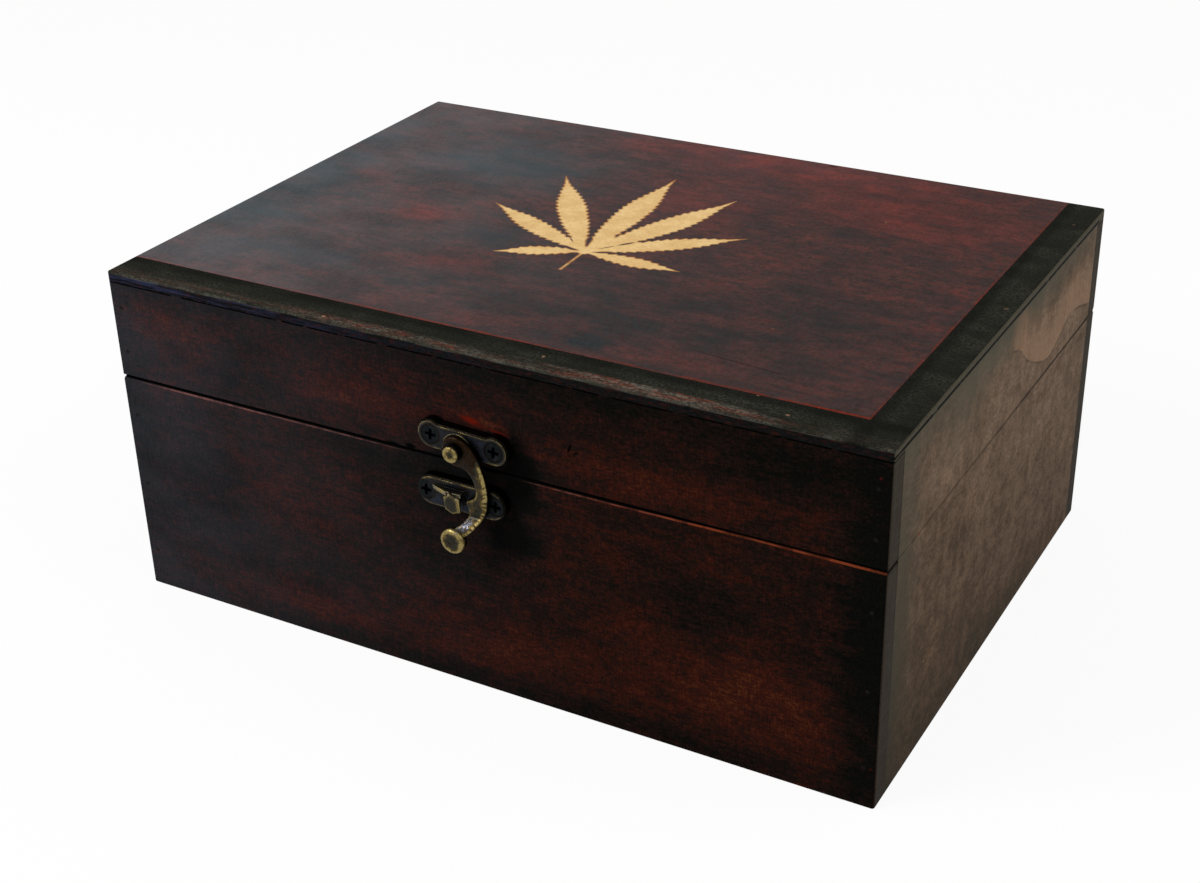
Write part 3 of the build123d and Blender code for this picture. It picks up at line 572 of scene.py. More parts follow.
def end_board(name, wood):
    """The same hardwood at the box's ends, where the stain is thin and has gone olive grey:
    brown clouds, darker downward and towards the front, cracks and dabs of stain, and at the
    back of the right end a pale figure that dips over the grain lines."""
    material, place, x, y, z = blank(name)
    loose = wandering(place, (5, 5, 5), (9, 9, 9))
    clouds = grain(place, (16, 16, 20), shift=4.4, detail=4.0)
    clumps = grain(place, (5, 5, 4), 0.35, 0.65, 2.7, 4.0)
    upright = grain(place, (3.2, 3.2, 12), 0.32, 0.68, 8.1)
    fibres = grain(place, (2.5, 2.5, 0.8), shift=1.9)
    tint = grain(place, (1.6, 1.6, 1.2), shift=9.6)
    specks = grain(place, (1.3, 1.3, 0.7), shift=3.3, detail=1.0)
    backward = add("MapRange", {0: y, 1: -half_depth, 2: half_depth})
    upward = add("MapRange", {0: z, 1: 0.0, 2: 80.0})
    # The figure's lower edge, as z over y: a grey ramp through its points, read back in
    # millimetres.
    along = add("MapRange", {0: y, 1: figure_from, 2: figure_to})
    edge = add("ValToRGB", {0: along}, stops=[
        ((at - figure_from) / (figure_to - figure_from),
         (*[(dip - figure_low) / figure_rise] * 3, 1.0))
        for at, dip in figure_edge
    ])
    edge.color_ramp.interpolation = "B_SPLINE"
    edge_z = weighed(figure_low, (edge.outputs[0], figure_rise))
    above = add("Math", {0: z, 1: edge_z}, operation="SUBTRACT")
    near_figure = product(between(y, figure_from + 6, figure_to + 3, 8.0),
                          between(x, 0, far, 1.0))
    fading = add("MapRange", {0: above, 1: 17.0, 2: 4.0})
    rays = grain(place, (1.6, 1.6, 40), shift=6.9)
    figure = product(near_figure, between(above, 0.3, far, 0.7), fading,
                     weighed(0.45, (rays, 0.75)))
    figure_line = product(near_figure, between(above, -0.5, 0.2, 0.5),
                          grain(place, 8, 0.35, 0.6, 3.0))
    waves = weighed(0.0, (above, 0.45), (clouds, 0.8))
    rings = add("Math", {0: waves}, operation="SINE")
    ring_lines = product(near_figure, between(rings, 0.75, 2.0, 0.3),
                         between(above, -16.0, -1.5, 4.0))
    density = weighed(
        -0.06, (backward, 0.30), (upward, 0.36),
        *patches(loose, "yz", end_patches),
        (clouds, 0.14), (clumps, 0.14), (upright, 0.08), (fibres, 0.10), (specks, 0.10),
        (figure, 0.22), (figure_line, -0.28), (ring_lines, -0.12),
    )
    stained = add("ValToRGB", {0: density}, stops=[
        (0.0, wood.side_dark), (0.45, wood.side_brown), (0.95, wood.side_light)
    ])
    rim_dark = between(z, rim - 0.5, rim + 0.55, 0.15)
    olive = drawn(loose, "yz", end_olive_patches, 1.0)
    olive_share = weighed(0.1, (upward, 0.9))
    olive_tone = layered(wood.side_dark, (wood.side_olive, olive_share))
    stained = layered(
        shaded(stained, (specks, 0.26), (clumps, 0.14)),
        (olive_tone, weighed(0.0, (tint, 0.24), (olive, 0.75))),
        (wood.peach, figure, 0.55),
        (wood.peach, specks, drawn(place, "yz", end_lights)),
        (wood.gap, rim_dark, weighed(0.0, (backward, 0.8))),
        (wood.black, drawn(place, "yz", end_marks)),
        (wood.edge, drawn(place, "yz", end_specks)),
    )
    colours = raw_inside(place, x, y, wood, stained)
    fine = weighed(0.0, (fibres, 0.5), (specks, 0.5))
    return finished(material, colours, waxed, 0.5, fine, depth=0.04)


def field_veneer(name, wood):
    """Stained veneer of the lid: red streaks under clouds of black stain, which a painted
    reflection of the light at the left turns blue-grey, with a rubbed red line, dark on its far
    side, where it meets the border."""
    material, place, x, _, _ = blank(name)
    loose = wandering(place, (10, 5, 5), (18, 6, 10))
    streaks = grain(place, (10, 3, 10), 0.32, 0.68, 0.4, 5.0)
    strands = grain(place, (2.4, 1.8, 2.4), 0.33, 0.67, 3.9)
    hatch = grain(place, (0.8, 6, 6), 0.33, 0.67, 1.1)
    clouds = grain(place, (15, 9, 15), 0.37, 0.63, 2.4, 6.0)
    specks = grain(place, (0.9, 1.5, 1), shift=5.0, detail=1.0)
    dust = grain(place, (0.8, 1.4, 1), shift=8.3, detail=1.0)
    red = weighed(-0.20, *patches(loose, "xy", field_red_patches),
                  (streaks, 0.20), (strands, 0.26), (specks, 0.18), (hatch, 0.06))
    black = weighed(-0.17, *patches(loose, "xy", field_black_patches),
                    (clouds, 0.40), (strands, 0.22), (hatch, 0.14), (dust, 0.20))
    astray = wandering(place, (1.4, 1.6, 0), (8, 8, 8))
    line_x, line_y, _ = add("SeparateXYZ", {0: astray}).outputs
    line = add("Math", {
        0: between(line_y, field_front - 2, field_front + 0.7, 0.7),
        1: between(line_x, field_right - 0.5, field_right + 2, 0.7),
    }, operation="MAXIMUM")
    broken = product(line, weighed(
        0.2, (grain(place, 12, 0.38, 0.6, 7.7, 5.0), 0.4),
        *patches(place, "xy", line_patches),
    ))
    stained = layered(wood.field_brown, (wood.field_red, red), (wood.field_black, black),
                      (wood.red_line, broken))
    stained = shaded(stained, (dust, 0.30), (strands, 0.16), (streaks, 0.12))
    # Painted reflection of the light at the left, and patches of it.
    reflection = add("Math", {
        0: reflection_toward_left(place, x, 90.0),
        1: drawn(loose, "xy", reflection_patches, 1.0),
    }, operation="ADD")
    colours = layered(
        painted_reflection(stained, wood.field_reflection, reflection),
        (wood.black, drawn(place, "xy", lid_scratches)),
        (wood.peach, drawn(place, "xy", lid_specks)),
    )
    fine = weighed(0.0, (strands, 0.5), (specks, 0.5))
    return finished(material, colours, waxed, 0.45, fine, depth=0.03)


def band_veneer(name, wood):
    """Ebonised border: near-black open-grained wood with dirt along the veneer, its outer edge
    rubbed back to fine grey and red cracks, a grey line along its corner that is rubbed and
    also a painted highlight, and flecks of old paint."""
    material, place, x, y, _ = blank(name)
    speckle = grain(place, (0.7, 0.6, 0.7), 0.32, 0.68, 1.2)
    clouds = grain(place, (14, 9, 9), 0.35, 0.65, 4.2)
    # Dirt darkens the border along the veneer.
    grime_and_shade = add("Math", {
        0: between(y, field_front - 3.5, field_front + 1, 3.0),
        1: between(x, field_right - 1, field_right + 3.0, 3.0),
    }, operation="MAXIMUM")
    rubbed = product(
        weighed(0.1, *patches(place, "xy", band_rubs, 0.5)),
        between(y, -half_depth + 0.1, -half_depth + 4.4, 1.4),
        grain(place, (40, 4, 40), 0.3, 0.56, 3.3),
    )
    cracks = grain(place, (1.1, 0.5, 0.8), 0.46, 0.60, 6.3, 4.0)
    hue = grain(place, (9, 0.9, 5), 0.4, 0.6, 2.9)
    threads = layered(wood.band_grey, (wood.band_red, hue))
    backward = add("MapRange", {0: y, 1: -84.0, 2: -50.0})
    at_end = product(between(x, half_width - 0.15, half_width + 1, 0.1),
                     weighed(0.3, (backward, 0.6)))
    # A grey line along the outer corner: rubbed, and a painted highlight of its rounding.
    arris_rub_and_highlight = product(
        between(y, -half_depth - 1, -half_depth + 0.45, 0.25),
        grain(place, 10, 0.4, 0.6, 7.4, 5.0), weighed(0.08, (speckle, 0.4)),
    )
    colours = layered(
        wood.band,
        (wood.band_grey, speckle, weighed(0.07, (clouds, 0.17))),
        (wood.black, grime_and_shade, 0.55),
        (threads, rubbed, weighed(0.25, (cracks, 0.9))),
        (wood.band_grey, arris_rub_and_highlight),
        (wood.peach, drawn(place, "xy", band_specks)),
        (wood.side_olive, at_end),
    )
    fine = weighed(0.0, (speckle, 0.6), (product(rubbed, cracks), 0.4))
    return finished(material, colours, waxed, 0.6, fine, depth=0.06)


def leaf_veneer(name, wood):
    """Pale close-grained wood let into the lid, warmer in patches, pricked with fine pores, and
    scorched brown along its sawn edge and at its tips."""
    material, place, *_ = blank(name)
    warm = grain(place, (7, 5, 5), 0.35, 0.65, 2.8, 4.0)
    fibres = grain(place, (2.2, 0.6, 3), 0.35, 0.7, 4.1)
    specks = grain(place, 0.6, 0.42, 0.72, 7.3)
    edge = near_edges(material, 0.58, 0.12)
    colours = layered(
        wood.leaf,
        (wood.leaf_shade, warm, 0.55),
        (wood.leaf_shade, fibres, 0.4),
        (wood.leaf_rim, specks, 0.22),
        (wood.leaf_rim, edge, weighed(0.55, (warm, 0.4))),
        (wood.leaf_gap, drawn(place, "xy", leaf_gaps)),
    )
    return finished(material, colours, polished, 0.5, fibres, depth=0.02)


def panel_wood(name, wood):
    """Thin plywood panel: its edge is stained blue-black with the boards, with a painted deep
    blue reflection at its left, and rubbed along its upper corner, where the grey line is also
    a painted highlight; its faces are bare."""
    material, place, x, y, z = blank(name)
    speckle = grain(place, (1.1, 0.8, 0.5), 0.33, 0.67, 1.2)
    rubs = grain(place, (3, 3, 0.5), 0.5, 0.7, 8.6, 4.0)
    # A grey line along the upper corner: rubbed, and a painted highlight of its rounding.
    corner = product(between(z, veneer_seat - 0.2, veneer_seat + 1, 0.3),
                     grain(place, 12, 0.4, 0.6, 3.7))
    stained = layered(
        wood.panel_edge,
        (wood.black, speckle, 0.8),
        (wood.red, rubs, 0.7),
        (wood.band_grey, corner, 0.4),
    )
    out_x = add("Math", {0: x}, operation="ABSOLUTE")
    at_ends = between(out_x, half_width - 0.2, half_width + 1, 0.2)
    wisps = grain(place, (9, 9, 0.6), 0.42, 0.62, 4.9, 5.0)
    # Painted reflection, deep blue, in wisps at the left.
    reflection = product(reflection_toward_left(place, x, 40.0), weighed(0.1, (wisps, 1.5)))
    gap = product(between(z, rail_top + 0.4, rail_top + 1.25, 0.3),
                  grain(place, 4, 0.34, 0.42, 1.6, 5.0))
    olive_share = weighed(0.6, (speckle, 0.4))
    olive = layered(wood.side_dark, (wood.side_olive, olive_share), (wood.gap, gap))
    stained = layered(painted_reflection(stained, wood.panel_reflection, reflection), (olive, at_ends))
    colours = raw_inside(place, x, y, wood, stained, "y")
    return finished(material, colours, waxed, 0.5, speckle, depth=0.04)


# ---- Metal ----------------------------------------------------------------------------------
metal = {"Metallic": 1.0}
screw_head = 2.5  # millimetres, its radius
plate_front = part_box("hook_plate")[0].y / mm


def near_edges(material, reach, full):
    """1 beside the edges of a piece's faces and 0 from the reach in millimetres inward. Rays go
    back into the piece, and it is full where that share of them meets another face. The reach
    is less than the piece's thickness."""
    clear = add("AmbientOcclusion", {"Distance": reach * mm}, tree=material.node_tree,
                inside=True, only_local=True, samples=8).outputs["AO"]
    return add("MapRange", {0: clear, 1: 0.97, 2: 1.0 - full}, **smooth)


def hollows(material, reach):
    """1 in corners and hollows that are narrower than the reach in millimetres."""
    clear = add("AmbientOcclusion", {"Distance": reach * mm}, tree=material.node_tree,
                samples=6).outputs["AO"]
    return add("MapRange", {0: clear, 1: 0.9, 2: 0.4}, **smooth)


def screw_places():
    """Where the clasp's four screws are, as x and z. The upper plate hangs a little lower at
    its right end."""
    places = []
    for name in ("hook_plate_screws", "catch_plate_screws"):
        low, high = (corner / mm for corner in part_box(name))
        middle, reach = (low + high) / 2, (high - low) / 2
        beside, drop = reach.x - screw_head, reach.z - screw_head
        places += [(middle.x - beside, middle.z + drop), (middle.x + beside, middle.z - drop)]
    return places


def cast_brass(name, clasp):
    """Cheap cast brass, chemically darkened and rubbed by hands: blue-black and brown flats,
    grey to yellow rims, where the grey is a painted highlight of light on their rounded
    shoulders, and black painted shade on the walls that stand on the wood and in the
    countersinks."""
    material, place, _, y, _ = blank(name)
    mottle = grain(place, 1.3, 0.35)
    lumps = grain(place, 4, 0.36, 0.62, 2.3)
    pits = grain(place, 0.45, 0.5, 0.72, 4.0, 2.0)
    broken = grain(place, 3.2, 0.36, 0.6, 1.9, 4.0)
    normal = add("TexCoord", tree=material.node_tree).outputs["Normal"]
    facing = add("SeparateXYZ", {0: normal}).outputs["Y"]
    # The walls that stand on the wood are black: painted shade.
    standing = add("MapRange", {0: facing, 1: -0.98, 2: -0.75})
    wall = product(standing, between(y, plate_front + 0.1, 0, 0.3))
    raised = between(y, -half_depth - 9, plate_front - 0.25, 0.2)
    # Painted shade in the countersinks round the screw heads.
    sunk = screw_head + 0.75
    rings = [(at_x, at_z, sunk, sunk, 1.0) for at_x, at_z in screw_places()]
    countersink_shade = drawn(place, "xz", rings, 0.12)
    rubbed = product(
        near_edges(material, 0.8, 0.22), weighed(0.5, (broken, 0.6), (pits, -0.25)),
        weighed(1.0, (countersink_shade, -1.0)),
    )
    flats = layered(
        clasp.patina,
        (clasp.blue, lumps, 0.8),
        (clasp.brown, mottle, 0.6),
        (clasp.olive, raised, 0.8),
    )
    # Rims rubbed to yellow brass, and grey where the rim is a painted highlight of the light.
    rim_wear_and_highlight = layered(clasp.grey, (clasp.brass, broken))
    colours = layered(
        flats,
        (clasp.bronze, between(rubbed, 0.2, 4.0, 0.3)),
        (rim_wear_and_highlight, between(rubbed, 0.55, 4.0, 0.4)),
        (clasp.dark, wall),
        (clasp.dark, countersink_shade),
        (clasp.dark, hollows(material, 2.0)),
    )
    fine = weighed(0.0, (pits, -0.5), (mottle, 0.5))
    dull = weighed(0.34, (pits, 0.2))
    return finished(material, colours, metal, dull, fine, depth=0.08, rounding=0.5)


def handled_brass(name, clasp):
    """The same brass where fingers lift the hook: the wear attribute, broken up by lumps and
    pits, takes it from a brown-black eye over olive flats to yellow edges, and the bend's slope
    shines bluish. Round the rivet it is dark patina with painted shade under the rivet's head."""
    material, place, _, y, _ = blank(name)
    mottle = grain(place, 1.5, 0.35, 0.65)
    pits = grain(place, 0.45, 0.5, 0.72, 4.0, 2.0)
    sheen = grain(place, 0.7, 0.42, 0.6, 5.7, 2.0)
    wear = add("Attribute", tree=material.node_tree, attribute_name="wear").outputs["Fac"]
    rubbed = weighed(-0.14, (wear, 1.0), (mottle, 0.38), (pits, -0.36))
    slope = patch(place, (rivet_x + glint_x, -half_depth, rivet_z + glint_z),
                  (3.6, far, 1.5), -36.0, 0.5)
    # Dark patina with painted shade under the rivet's head: round the rivet, on the hook's face
    # and behind it.
    shank = product(
        patch(place, (rivet_x, -half_depth, rivet_z), (3.6, far, 3.6), 0.0, 0.3),
        between(y, -half_depth - hook_front - 0.4, 0, 0.1),
    )
    colours = layered(
        clasp.eye,
        (clasp.olive, between(rubbed, -0.05, 4.0, 0.3)),
        (clasp.bronze, between(rubbed, 0.32, 4.0, 0.3)),
        (clasp.brass, between(rubbed, 0.7, 4.0, 0.5)),
        (clasp.glint, slope, sheen),
        (clasp.dark, between(rubbed, -4.0, -0.55, 0.4)),
        (clasp.dark, shank),
        (clasp.dark, hollows(material, 1.5)),
    )
    fine = weighed(0.0, (pits, -0.5), (mottle, 0.5))
    return finished(material, colours, metal, weighed(0.34, (pits, 0.2)), fine, depth=0.08)


def screw_steel(name, clasp):
    """Blued steel screw heads, with black painted shade in their cross recess, and dull in
    spots.
    """
    material, place, *_ = blank(name)
    spots = grain(place, 1.2, 0.4, 0.75)
    # Painted shade, black, in each screw's cross recess.
    recess_shade = [
        (at_x, at_z, reach_x, reach_z, 1.5, 12.0)
        for at_x, at_z in screw_places()
        for reach_x, reach_z in ((2.0, 0.75), (0.75, 2.0))
    ]
    shine = grain(place, 1.8, 0.5, 0.7, 6.2)
    colours = layered(
        clasp.steel,
        (clasp.patina, shine, 0.8),
        (clasp.dark, spots, 0.4),
        (clasp.dark, hollows(material, 1.0)),
        (clasp.black, drawn(place, "xz", recess_shade, 0.5)),
    )
    return finished(material, colours, metal, weighed(0.4, (spots, 0.15)), spots, depth=0.01)


def plain_metal(name, tone, dark, roughness):
    """Rolled or drawn metal, dulled in spots."""
    material, place, *_ = blank(name)
    spots = grain(place, 1.2, 0.4, 0.75)
    colours = layered(tone, (dark, spots, 0.7), (dark, hollows(material, 1.0)))
    dull = weighed(roughness, (spots, 0.15))
    return finished(material, colours, metal, dull, spots, depth=0.01)


# ---- Shapes ---------------------------------------------------------------------------------
# Millimetres across and up from the rivet's axis, and out from the front boards.
rivet_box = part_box("hook_rivet")
rivet_x = (rivet_box[0].x + rivet_box[1].x) / 2 / mm
rivet_z = (rivet_box[0].z + rivet_box[1].z) / 2 / mm
hook_back, hook_front, hook_tail_back = 3.4, 4.9, 6.35
hook_bend_from, hook_bend_to = -18.2, -21.7
hook_stations = (  # outer edge, then inner edge
    ((-4.3, 0.0), (-4.3, 0.0)), ((-3.0, 3.1), (-3.0, -3.1)), ((0.0, 4.3), (-0.2, -4.3)),
    ((2.3, 3.7), (2.0, -4.5)), ((4.3, 2.5), (3.4, -5.1)), ((6.3, 0.0), (4.7, -6.4)),
    ((8.0, -3.3), (5.7, -8.6)), ((9.1, -7.0), (6.0, -10.9)), ((9.6, -10.8), (5.3, -12.9)),
    ((9.5, -13.8), (2.9, -14.5)), ((8.9, -16.6), (3.4, -16.4)), ((8.0, -18.8), (3.6, -18.1)),
    ((6.7, -20.8), (2.5, -20.1)), ((4.7, -22.9), (0.9, -21.5)), ((2.6, -24.6), (-1.0, -22.8)),
    ((1.0, -25.8), (-2.1, -24.1)),
)
hook_disc_x, hook_disc_z, hook_disc, hook_disc_thickness = 0.1, -25.6, 3.8, 2.5
glint_x, glint_z = 3.2, -20.8  # where the bend's slope shines
pit_pitch, pit_depth = 1.5, 0.08


def through(points, count):
    """A smooth curve of count points through the given ones: between two of them it is the
    cubic whose slope at each is half the step from the one before to the one after."""
    points = np.array(points, float)
    slopes = np.gradient(points, axis=0)
    places = np.linspace(0, len(points) - 1, count)
    first = np.minimum(places.astype(int), len(points) - 2)
    t = (places - first)[:, None]
    return (
        (2 * t**3 - 3 * t**2 + 1) * points[first] + (t**3 - 2 * t**2 + t) * slopes[first]
        + (3 * t**2 - 2 * t**3) * points[first + 1] + (t**3 - t**2) * slopes[first + 1]
    )


def smoothstep(value, low, high):
    """0 below low and 1 above high, with level ends: 3 t squared less 2 t cubed."""
    t = np.clip((value - low) / (high - low), 0, 1)
    return t * t * (3 - 2 * t)


def joined_grid(rows, columns):
    """Quads between the points of a grid, closed across its columns."""
    row = np.arange(rows - 1)[:, None]
    column = np.arange(columns)[None, :]
    beside = (column + 1) % columns
    corners = (row * columns + column, row * columns + beside,
               (row + 1) * columns + beside, (row + 1) * columns + column)
    return np.stack(corners, -1).reshape(-1, 4)


def shell(name, *grids):
    """One object from grids of points in millimetres, each with the wear at its points. Every
    grid is closed across its columns, its first row is drawn to a point or a line, and its last
    row is closed by one face."""
    faces, start = [], 0
    for _, wear in grids:
        rows, columns = wear.shape
        faces += (joined_grid(rows, columns) + start).tolist()
        faces.append(range(start + (rows - 1) * columns, start + rows * columns))
        start += wear.size
    mesh = bpy.data.meshes.new(name)
    mesh.from_pydata(np.concatenate([p.reshape(-1, 3) for p, _ in grids]) * mm, [], faces)
    worn = mesh.attributes.new("wear", "FLOAT", "POINT")
    worn.data.foreach_set("value", np.concatenate([wear.ravel() for _, wear in grids]))
    build = bmesh.new()
    build.from_mesh(mesh)
    bmesh.ops.remove_doubles(build, verts=build.verts, dist=0.002 * mm)
    bmesh.ops.recalc_face_normals(build, faces=build.faces)
    build.to_mesh(mesh)
    build.free()
    mesh.shade_smooth()
    return placed(name, mesh)


def placed(name, data):
    """An object in the scene that shows a mesh, a camera or a light."""
    thing = bpy.data.objects.new(name, data)
    bpy.context.scene.collection.objects.link(thing)
    return thing


def edge_inward(edge, sign):
    """Unit normals of an edge in the plane of the front, on the side given by the sign."""
    step = np.gradient(edge, axis=0)
    normal = np.stack([step[:, 1], -step[:, 0]], 1) * sign
    return normal / np.linalg.norm(normal, axis=1, keepdims=True)


def hook_strip(count=360):
    """The hook's bent strip. Across it the section goes back corner, front corner, crowned
    face, front corner, back corner, and each corner is a quarter round laid in from its edge.
    Out from the boards, its middle rises by a smoothstep of the height where the tail steps
    out, and the wall thickens there as 1 over the cosine of the slope."""
    outer, inner = (through(edge, count) for edge in zip(*hook_stations))
    thickness = hook_front - hook_back
    back_round, front_round, crown = 0.25, 0.6, 0.12
    quarter = np.radians(np.linspace(0, 90, 6))
    corner_in = np.concatenate(
        [back_round * (1 - np.sin(quarter)), front_round * (1 - np.cos(quarter))]
    )
    corner_out = np.concatenate(
        [back_round * (1 - np.cos(quarter)), thickness - front_round * (1 - np.sin(quarter))]
    )
    # A row of small pits along the outer edge: the fourth power of a cosine, about once in a
    # pitch, whose phase and strength drift along the edge as sines.
    length = np.concatenate([[0], np.linalg.norm(np.diff(outer, axis=0), axis=1).cumsum()])
    phase = 2 * np.pi * length / pit_pitch + 1.1 * np.sin(1.9 * length)
    notch = smoothstep(length, 19, 22) * (0.65 + 0.35 * np.sin(2.7 * length))
    notch = notch * (0.5 + 0.5 * np.cos(phase)) ** 2
    share = np.linspace(0, 1, 16)[1:-1]
    on_corner = np.concatenate([0 * quarter, np.sin(quarter)])
    pitted = np.concatenate([on_corner, np.clip(1 - share / 0.2, 0, 1), 0 * on_corner])
    sunk = pit_depth * (notch[:, None] * on_corner)[:, :, None]
    left = outer[:, None] + edge_inward(outer, 1)[:, None] * (corner_in[:, None] + sunk)
    right = inner[:, None] + edge_inward(inner, -1)[:, None] * corner_in[:, None]
    right = right[:, ::-1]
    middle = left[:, -1:] * (1 - share[:, None]) + right[:, :1] * share[:, None]
    flat = np.concatenate([left, middle, right], axis=1)
    crowned = thickness + crown * 4 * share * (1 - share)
    level = np.concatenate([corner_out, crowned, corner_out[::-1]])
    rise = np.clip((hook_bend_from - flat[..., 1]) / (hook_bend_from - hook_bend_to), 0, 1)
    step = hook_tail_back - hook_back
    slope = step / (hook_bend_from - hook_bend_to) * 6 * rise * (1 - rise)
    wall = (level - thickness / 2) * np.sqrt(1 + slope**2)
    out = hook_back + thickness / 2 + step * rise**2 * (3 - 2 * rise) + wall
    points = np.stack([rivet_x + flat[..., 0], -half_depth - out, rivet_z + flat[..., 1]], -1)
    # Rubbed most along the outer corner, then over the bow's middle and by the disc, and
    # grimy round the eye and on its back and edges, by shares of the way across and by
    # millimetres along the outer edge.
    across = np.concatenate([0 * on_corner, share, 0 * on_corner + 1])
    on_front = smoothstep(level, 0.4 * thickness, 0.95 * thickness)
    along = length[:, None]
    bow = smoothstep(along, 17, 21) * (1 - 0.85 * smoothstep(along, 26, 30))
    rim = smoothstep(across, 0.26, 0.0) * smoothstep(along, 15, 19)
    inner_rim = smoothstep(across, 0.88, 1.0) * smoothstep(along, 10, 18)
    eye = 1 - smoothstep(along, 14, 19)
    wear = (
        0.18 - 0.5 * eye + 0.26 * bow * (1 - 0.4 * across) + 0.3 * smoothstep(along, 36, 41)
        + 0.62 * rim + 0.3 * inner_rim
    )
    wear = on_front * wear - 0.35 * (1 - on_front) - 0.9 * notch[:, None] * pitted
    return points, wear


def turned(centre_x, centre_z, profile, count=96):
    """A shape turned round a line that points out from the boards. Each row of the profile is
    a radius, a height out from the boards, and the wear there. It begins and ends at radius
    0."""
    radius, out, wear = np.array(profile, float).T[:, :, None]
    angle = np.linspace(0, 2 * np.pi, count, endpoint=False)[None, :]
    points = [centre_x + radius * np.cos(angle), -half_depth - out + 0 * angle,
              centre_z + radius * np.sin(angle)]
    return np.stack(points, -1), wear + 0 * angle


def hook_disc_profile():
    """The thumb disc: a rounded rim round a slightly sunk middle."""
    back, front = hook_tail_back, hook_tail_back + hook_disc_thickness
    return (
        (0.0, back, 0.0), (hook_disc - 0.5, back, 0.1), (hook_disc - 0.1, back + 0.3, 0.2),
        (hook_disc, back + 0.9, 0.35), (hook_disc, front - 1.0, 0.6),
        (hook_disc - 0.12, front - 0.5, 0.8), (hook_disc - 0.45, front - 0.12, 0.9),
        (hook_disc - 0.9, front, 0.85), (hook_disc - 1.5, front - 0.05, 0.5),
        (hook_disc - 2.3, front - 0.1, 0.15), (1.0, front - 0.14, 0.05),
        (0.0, front - 0.15, 0.05),
    )


def rivet_profile():
    """The rivet: its shank through the plate, a thick head with a rubbed face, and the dent
    that closed it."""
    front = -half_depth - rivet_box[0].y / mm
    seat = front - 2.0
    return (
        (0.0, 0.5, 0.0), (1.5, 0.5, 0.0), (1.5, seat, 0.0), (2.3, seat, 0.0),
        (2.4, seat + 0.15, 0.05), (2.4, front - 0.5, 0.2), (2.3, front - 0.2, 0.7),
        (2.05, front - 0.05, 0.9), (1.6, front, 0.8), (1.1, front - 0.03, 0.65),
        (0.75, front - 0.1, 0.35), (0.4, front - 0.2, 0.1), (0.0, front - 0.24, 0.0),
    )


def finish_nodes(material, *names):
    """Gives CAD pieces their material."""
    for name in names:
        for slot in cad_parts[name].material_slots:
            slot.material = material


# ---- Operators ------------------------------------------------------------------------------
class BOX_OT_boards(Operator):
    """Stains the boards and rails, and leaves their inner faces bare"""

    bl_idname = "antique_box.boards"
    bl_label = "Boards"

    def execute(self, context):
        wood = context.scene.antique_box_wood
        front = stained_board("stained_front_boards", wood)
        back = stained_board("stained_back_boards", wood)
        ends = end_board("stained_end_boards", wood)
        panels = panel_wood("plywood_panels", wood)
        finish_nodes(front, "base_front_board", "lid_front_rail")
        finish_nodes(back, "base_back_board", "lid_back_rail")
        finish_nodes(ends, "base_left_board", "base_right_board")
        finish_nodes(ends, "lid_left_rail", "lid_right_rail")
        finish_nodes(panels, "base_bottom_panel", "lid_top_panel")
        return {"FINISHED"}


class BOX_OT_veneers(Operator):
    """Finishes the lid's veneers and its inlaid leaf"""

    bl_idname = "antique_box.veneers"
    bl_label = "Veneers and leaf"

    def execute(self, context):
        wood = context.scene.antique_box_wood
        band = band_veneer("ebonised_banding", wood)
        finish_nodes(field_veneer("stained_field_veneer", wood), "lid_field_veneer")
        finish_nodes(band, "lid_front_banding", "lid_right_banding")
        finish_nodes(leaf_veneer("pale_leaf_veneer", wood), "leaf_inlay")
        return {"FINISHED"}


class BOX_OT_clasp(Operator):
    """Makes the swing hook and its rivet, and finishes the plates and the screws"""

    bl_idname = "antique_box.clasp"
    bl_label = "Clasp"

    def execute(self, context):
        clasp = context.scene.antique_box_clasp
        steel = screw_steel("blued_screw_steel", clasp)
        finish_nodes(cast_brass("darkened_cast_brass", clasp), "hook_plate", "catch_plate")
        finish_nodes(steel, "hook_plate_screws", "catch_plate_screws")
        handled = handled_brass("hand_rubbed_brass", clasp)
        disc = turned(rivet_x + hook_disc_x, rivet_z + hook_disc_z, hook_disc_profile())
        hook = shell("bowed_hook", hook_strip(), disc)
        rivet = shell("rivet_head", turned(rivet_x, rivet_z, rivet_profile()))
        for piece, body, node in ((hook, "hook", "swing_hook"), (rivet, "lid", "hook_rivet")):
            piece.data.materials.append(handled)
            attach(piece, body)
            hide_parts(node)
        return {"FINISHED"}


class BOX_OT_fittings(Operator):
    """Finishes the hinges and the brads"""

    bl_idname = "antique_box.fittings"
    bl_label = "Hinges and brads"

    def execute(self, context):
        clasp = context.scene.antique_box_clasp
        hinges = [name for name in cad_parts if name.startswith("hinge_")]
        brads = [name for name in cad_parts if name.endswith("_brads")]
        finish_nodes(plain_metal("rolled_hinge_brass", clasp.hinge, clasp.dark, 0.35), *hinges)
        finish_nodes(plain_metal("brad_steel_wire", clasp.brad, clasp.dark, 0.5), *brads)
        return {"FINISHED"}


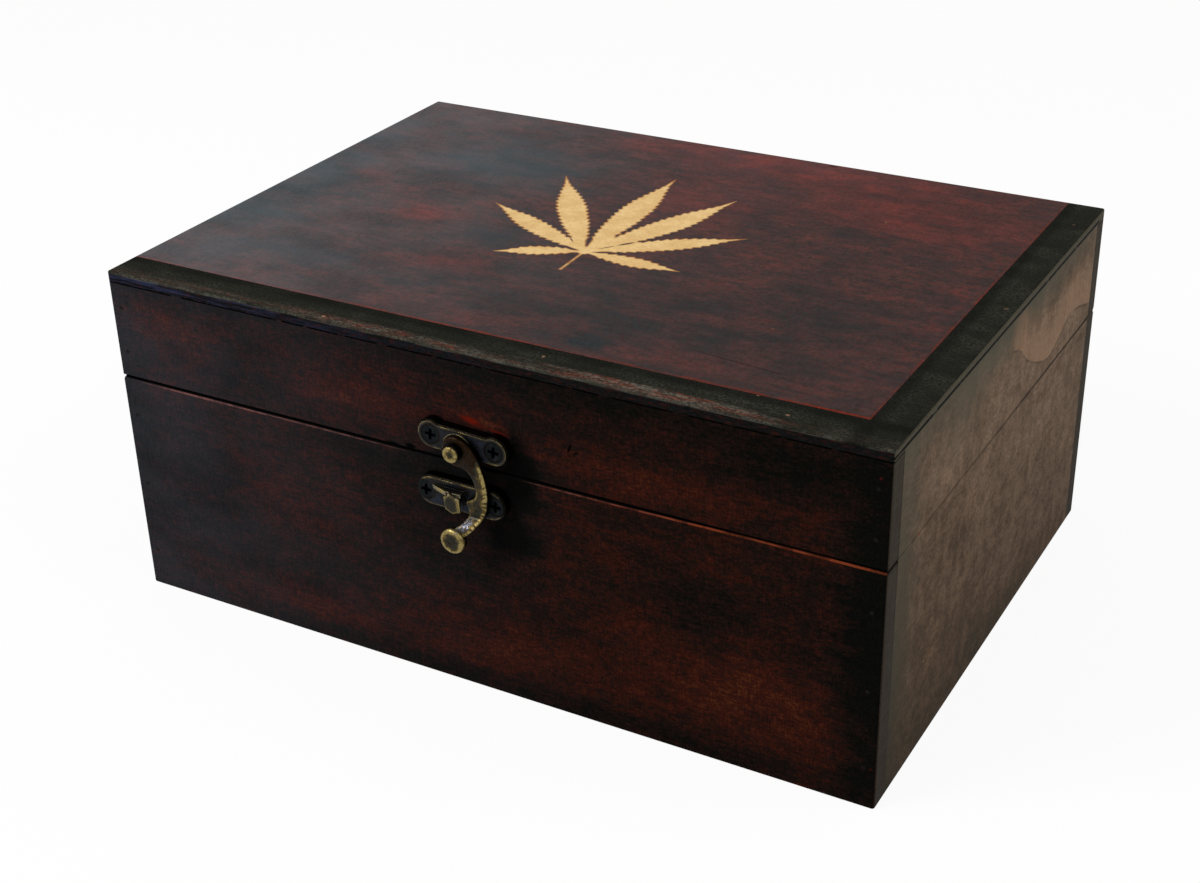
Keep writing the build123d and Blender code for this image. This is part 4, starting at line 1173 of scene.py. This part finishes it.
class BOX_OT_stage(Operator):
    """Sets up the camera, the floor, the world and two soft lights"""

    bl_idname = "antique_box.stage"
    bl_label = "Stage"

    def execute(self, context):
        stage = context.scene.antique_box_stage
        self.camera(context, stage)
        self.floor(stage)
        self.world(context, stage)
        self.light("key_light", (-0.75, -0.95, 1.05), 0.6, stage.key)
        self.light("fill_light", (1.2, 0.2, 0.9), 0.9, stage.fill)
        context.scene.view_settings.view_transform = "Standard"
        return {"FINISHED"}

    def camera(self, context, stage):
        """Looks along the azimuth and elevation, rolled about its own axis."""
        turn, rise = stage.azimuth, stage.elevation
        back = Vector((sin(turn) * cos(rise), -cos(turn) * cos(rise), sin(rise)))
        right = (-back).cross(Vector((0, 0, 1))).normalized()
        up = right.cross(-back)
        rolled_right = cos(stage.roll) * right + sin(stage.roll) * up
        rolled_up = cos(stage.roll) * up - sin(stage.roll) * right
        data = bpy.data.cameras.new("camera")
        data.sensor_width, data.lens, data.clip_start = 36.0, stage.lens, 10 * mm
        camera = placed("camera", data)
        axes = Matrix((rolled_right, rolled_up, back)).transposed().to_4x4()
        camera.matrix_world = Matrix.Translation(stage.position) @ axes
        context.scene.camera = camera

    def floor(self, stage, sides=96, radius=4.0, white=0.92):
        """A wide disc that shows white by that share and keeps the box's soft shadow."""
        turns = np.linspace(0, 2 * np.pi, sides, endpoint=False)
        points = np.stack([np.cos(turns), np.sin(turns), np.zeros(sides)], 1) * radius
        mesh = bpy.data.meshes.new("floor")
        mesh.from_pydata(points.tolist(), [], [tuple(range(sides))])
        floor = placed("floor", mesh)
        material = bpy.data.materials.new("matt_white_floor")
        tree = emptied(material)
        matt = {"Base Color": stage.floor, "Roughness": 0.9, "Specular IOR Level": 0.0}
        matt = add("BsdfPrincipled", matt, tree=tree)
        glow = add("Emission", {"Color": (1, 1, 1, 1), "Strength": 1.0}, tree=tree)
        mixed = add("MixShader", {0: product(shown_rays(tree), white), 1: matt, 2: glow})
        add("OutputMaterial", {0: mixed})
        mesh.materials.append(material)

    def world(self, context, stage):
        """Even white light, which shows as white behind the box and in its gloss."""
        world = bpy.data.worlds.new("white_room")
        tree = emptied(world)
        strength = add("Mix", {0: shown_rays(tree), 2: stage.ambient, 3: 1.0},
                       data_type="FLOAT")
        background = add("Background", {"Color": (1, 1, 1, 1), "Strength": strength})
        add("OutputWorld", {0: background})
        context.scene.world = world

    def light(self, name, place, size, power):
        """A square soft light that faces the middle of the box."""
        data = bpy.data.lights.new(name, "AREA")
        data.size, data.energy = size, power
        light = placed(name, data)
        light.location = place
        aim = Vector((0, 0, 0.05)) - Vector(place)
        light.rotation_mode = "QUATERNION"
        light.rotation_quaternion = aim.to_track_quat("-Z", "Y")


steps = (BOX_OT_boards, BOX_OT_veneers, BOX_OT_clasp, BOX_OT_fittings, BOX_OT_stage)


class BOX_PT_panel(Panel):
    """Lists the steps in the sidebar"""

    bl_idname = "BOX_PT_panel"
    bl_label = "Antique Box"
    bl_space_type = "VIEW_3D"
    bl_region_type = "UI"
    bl_category = "Box"

    def draw(self, context):
        for step in steps:
            self.layout.operator(step.bl_idname)


settings = {
    "antique_box_wood": WoodSettings,
    "antique_box_clasp": ClaspSettings,
    "antique_box_stage": StageSettings,
}


def register():
    for cls in (*settings.values(), *steps, BOX_PT_panel):
        bpy.utils.register_class(cls)
    for name, group in settings.items():
        setattr(bpy.types.Scene, name, PointerProperty(type=group))


def unregister():
    for name in settings:
        delattr(bpy.types.Scene, name)
    for cls in (BOX_PT_panel, *reversed(steps), *settings.values()):
        bpy.utils.unregister_class(cls)


def main():
    """Runs every step."""
    register()
    for step in steps:
        group, name = step.bl_idname.split(".")
        getattr(getattr(bpy.ops, group), name)()


if __name__ == "__main__":
    main()
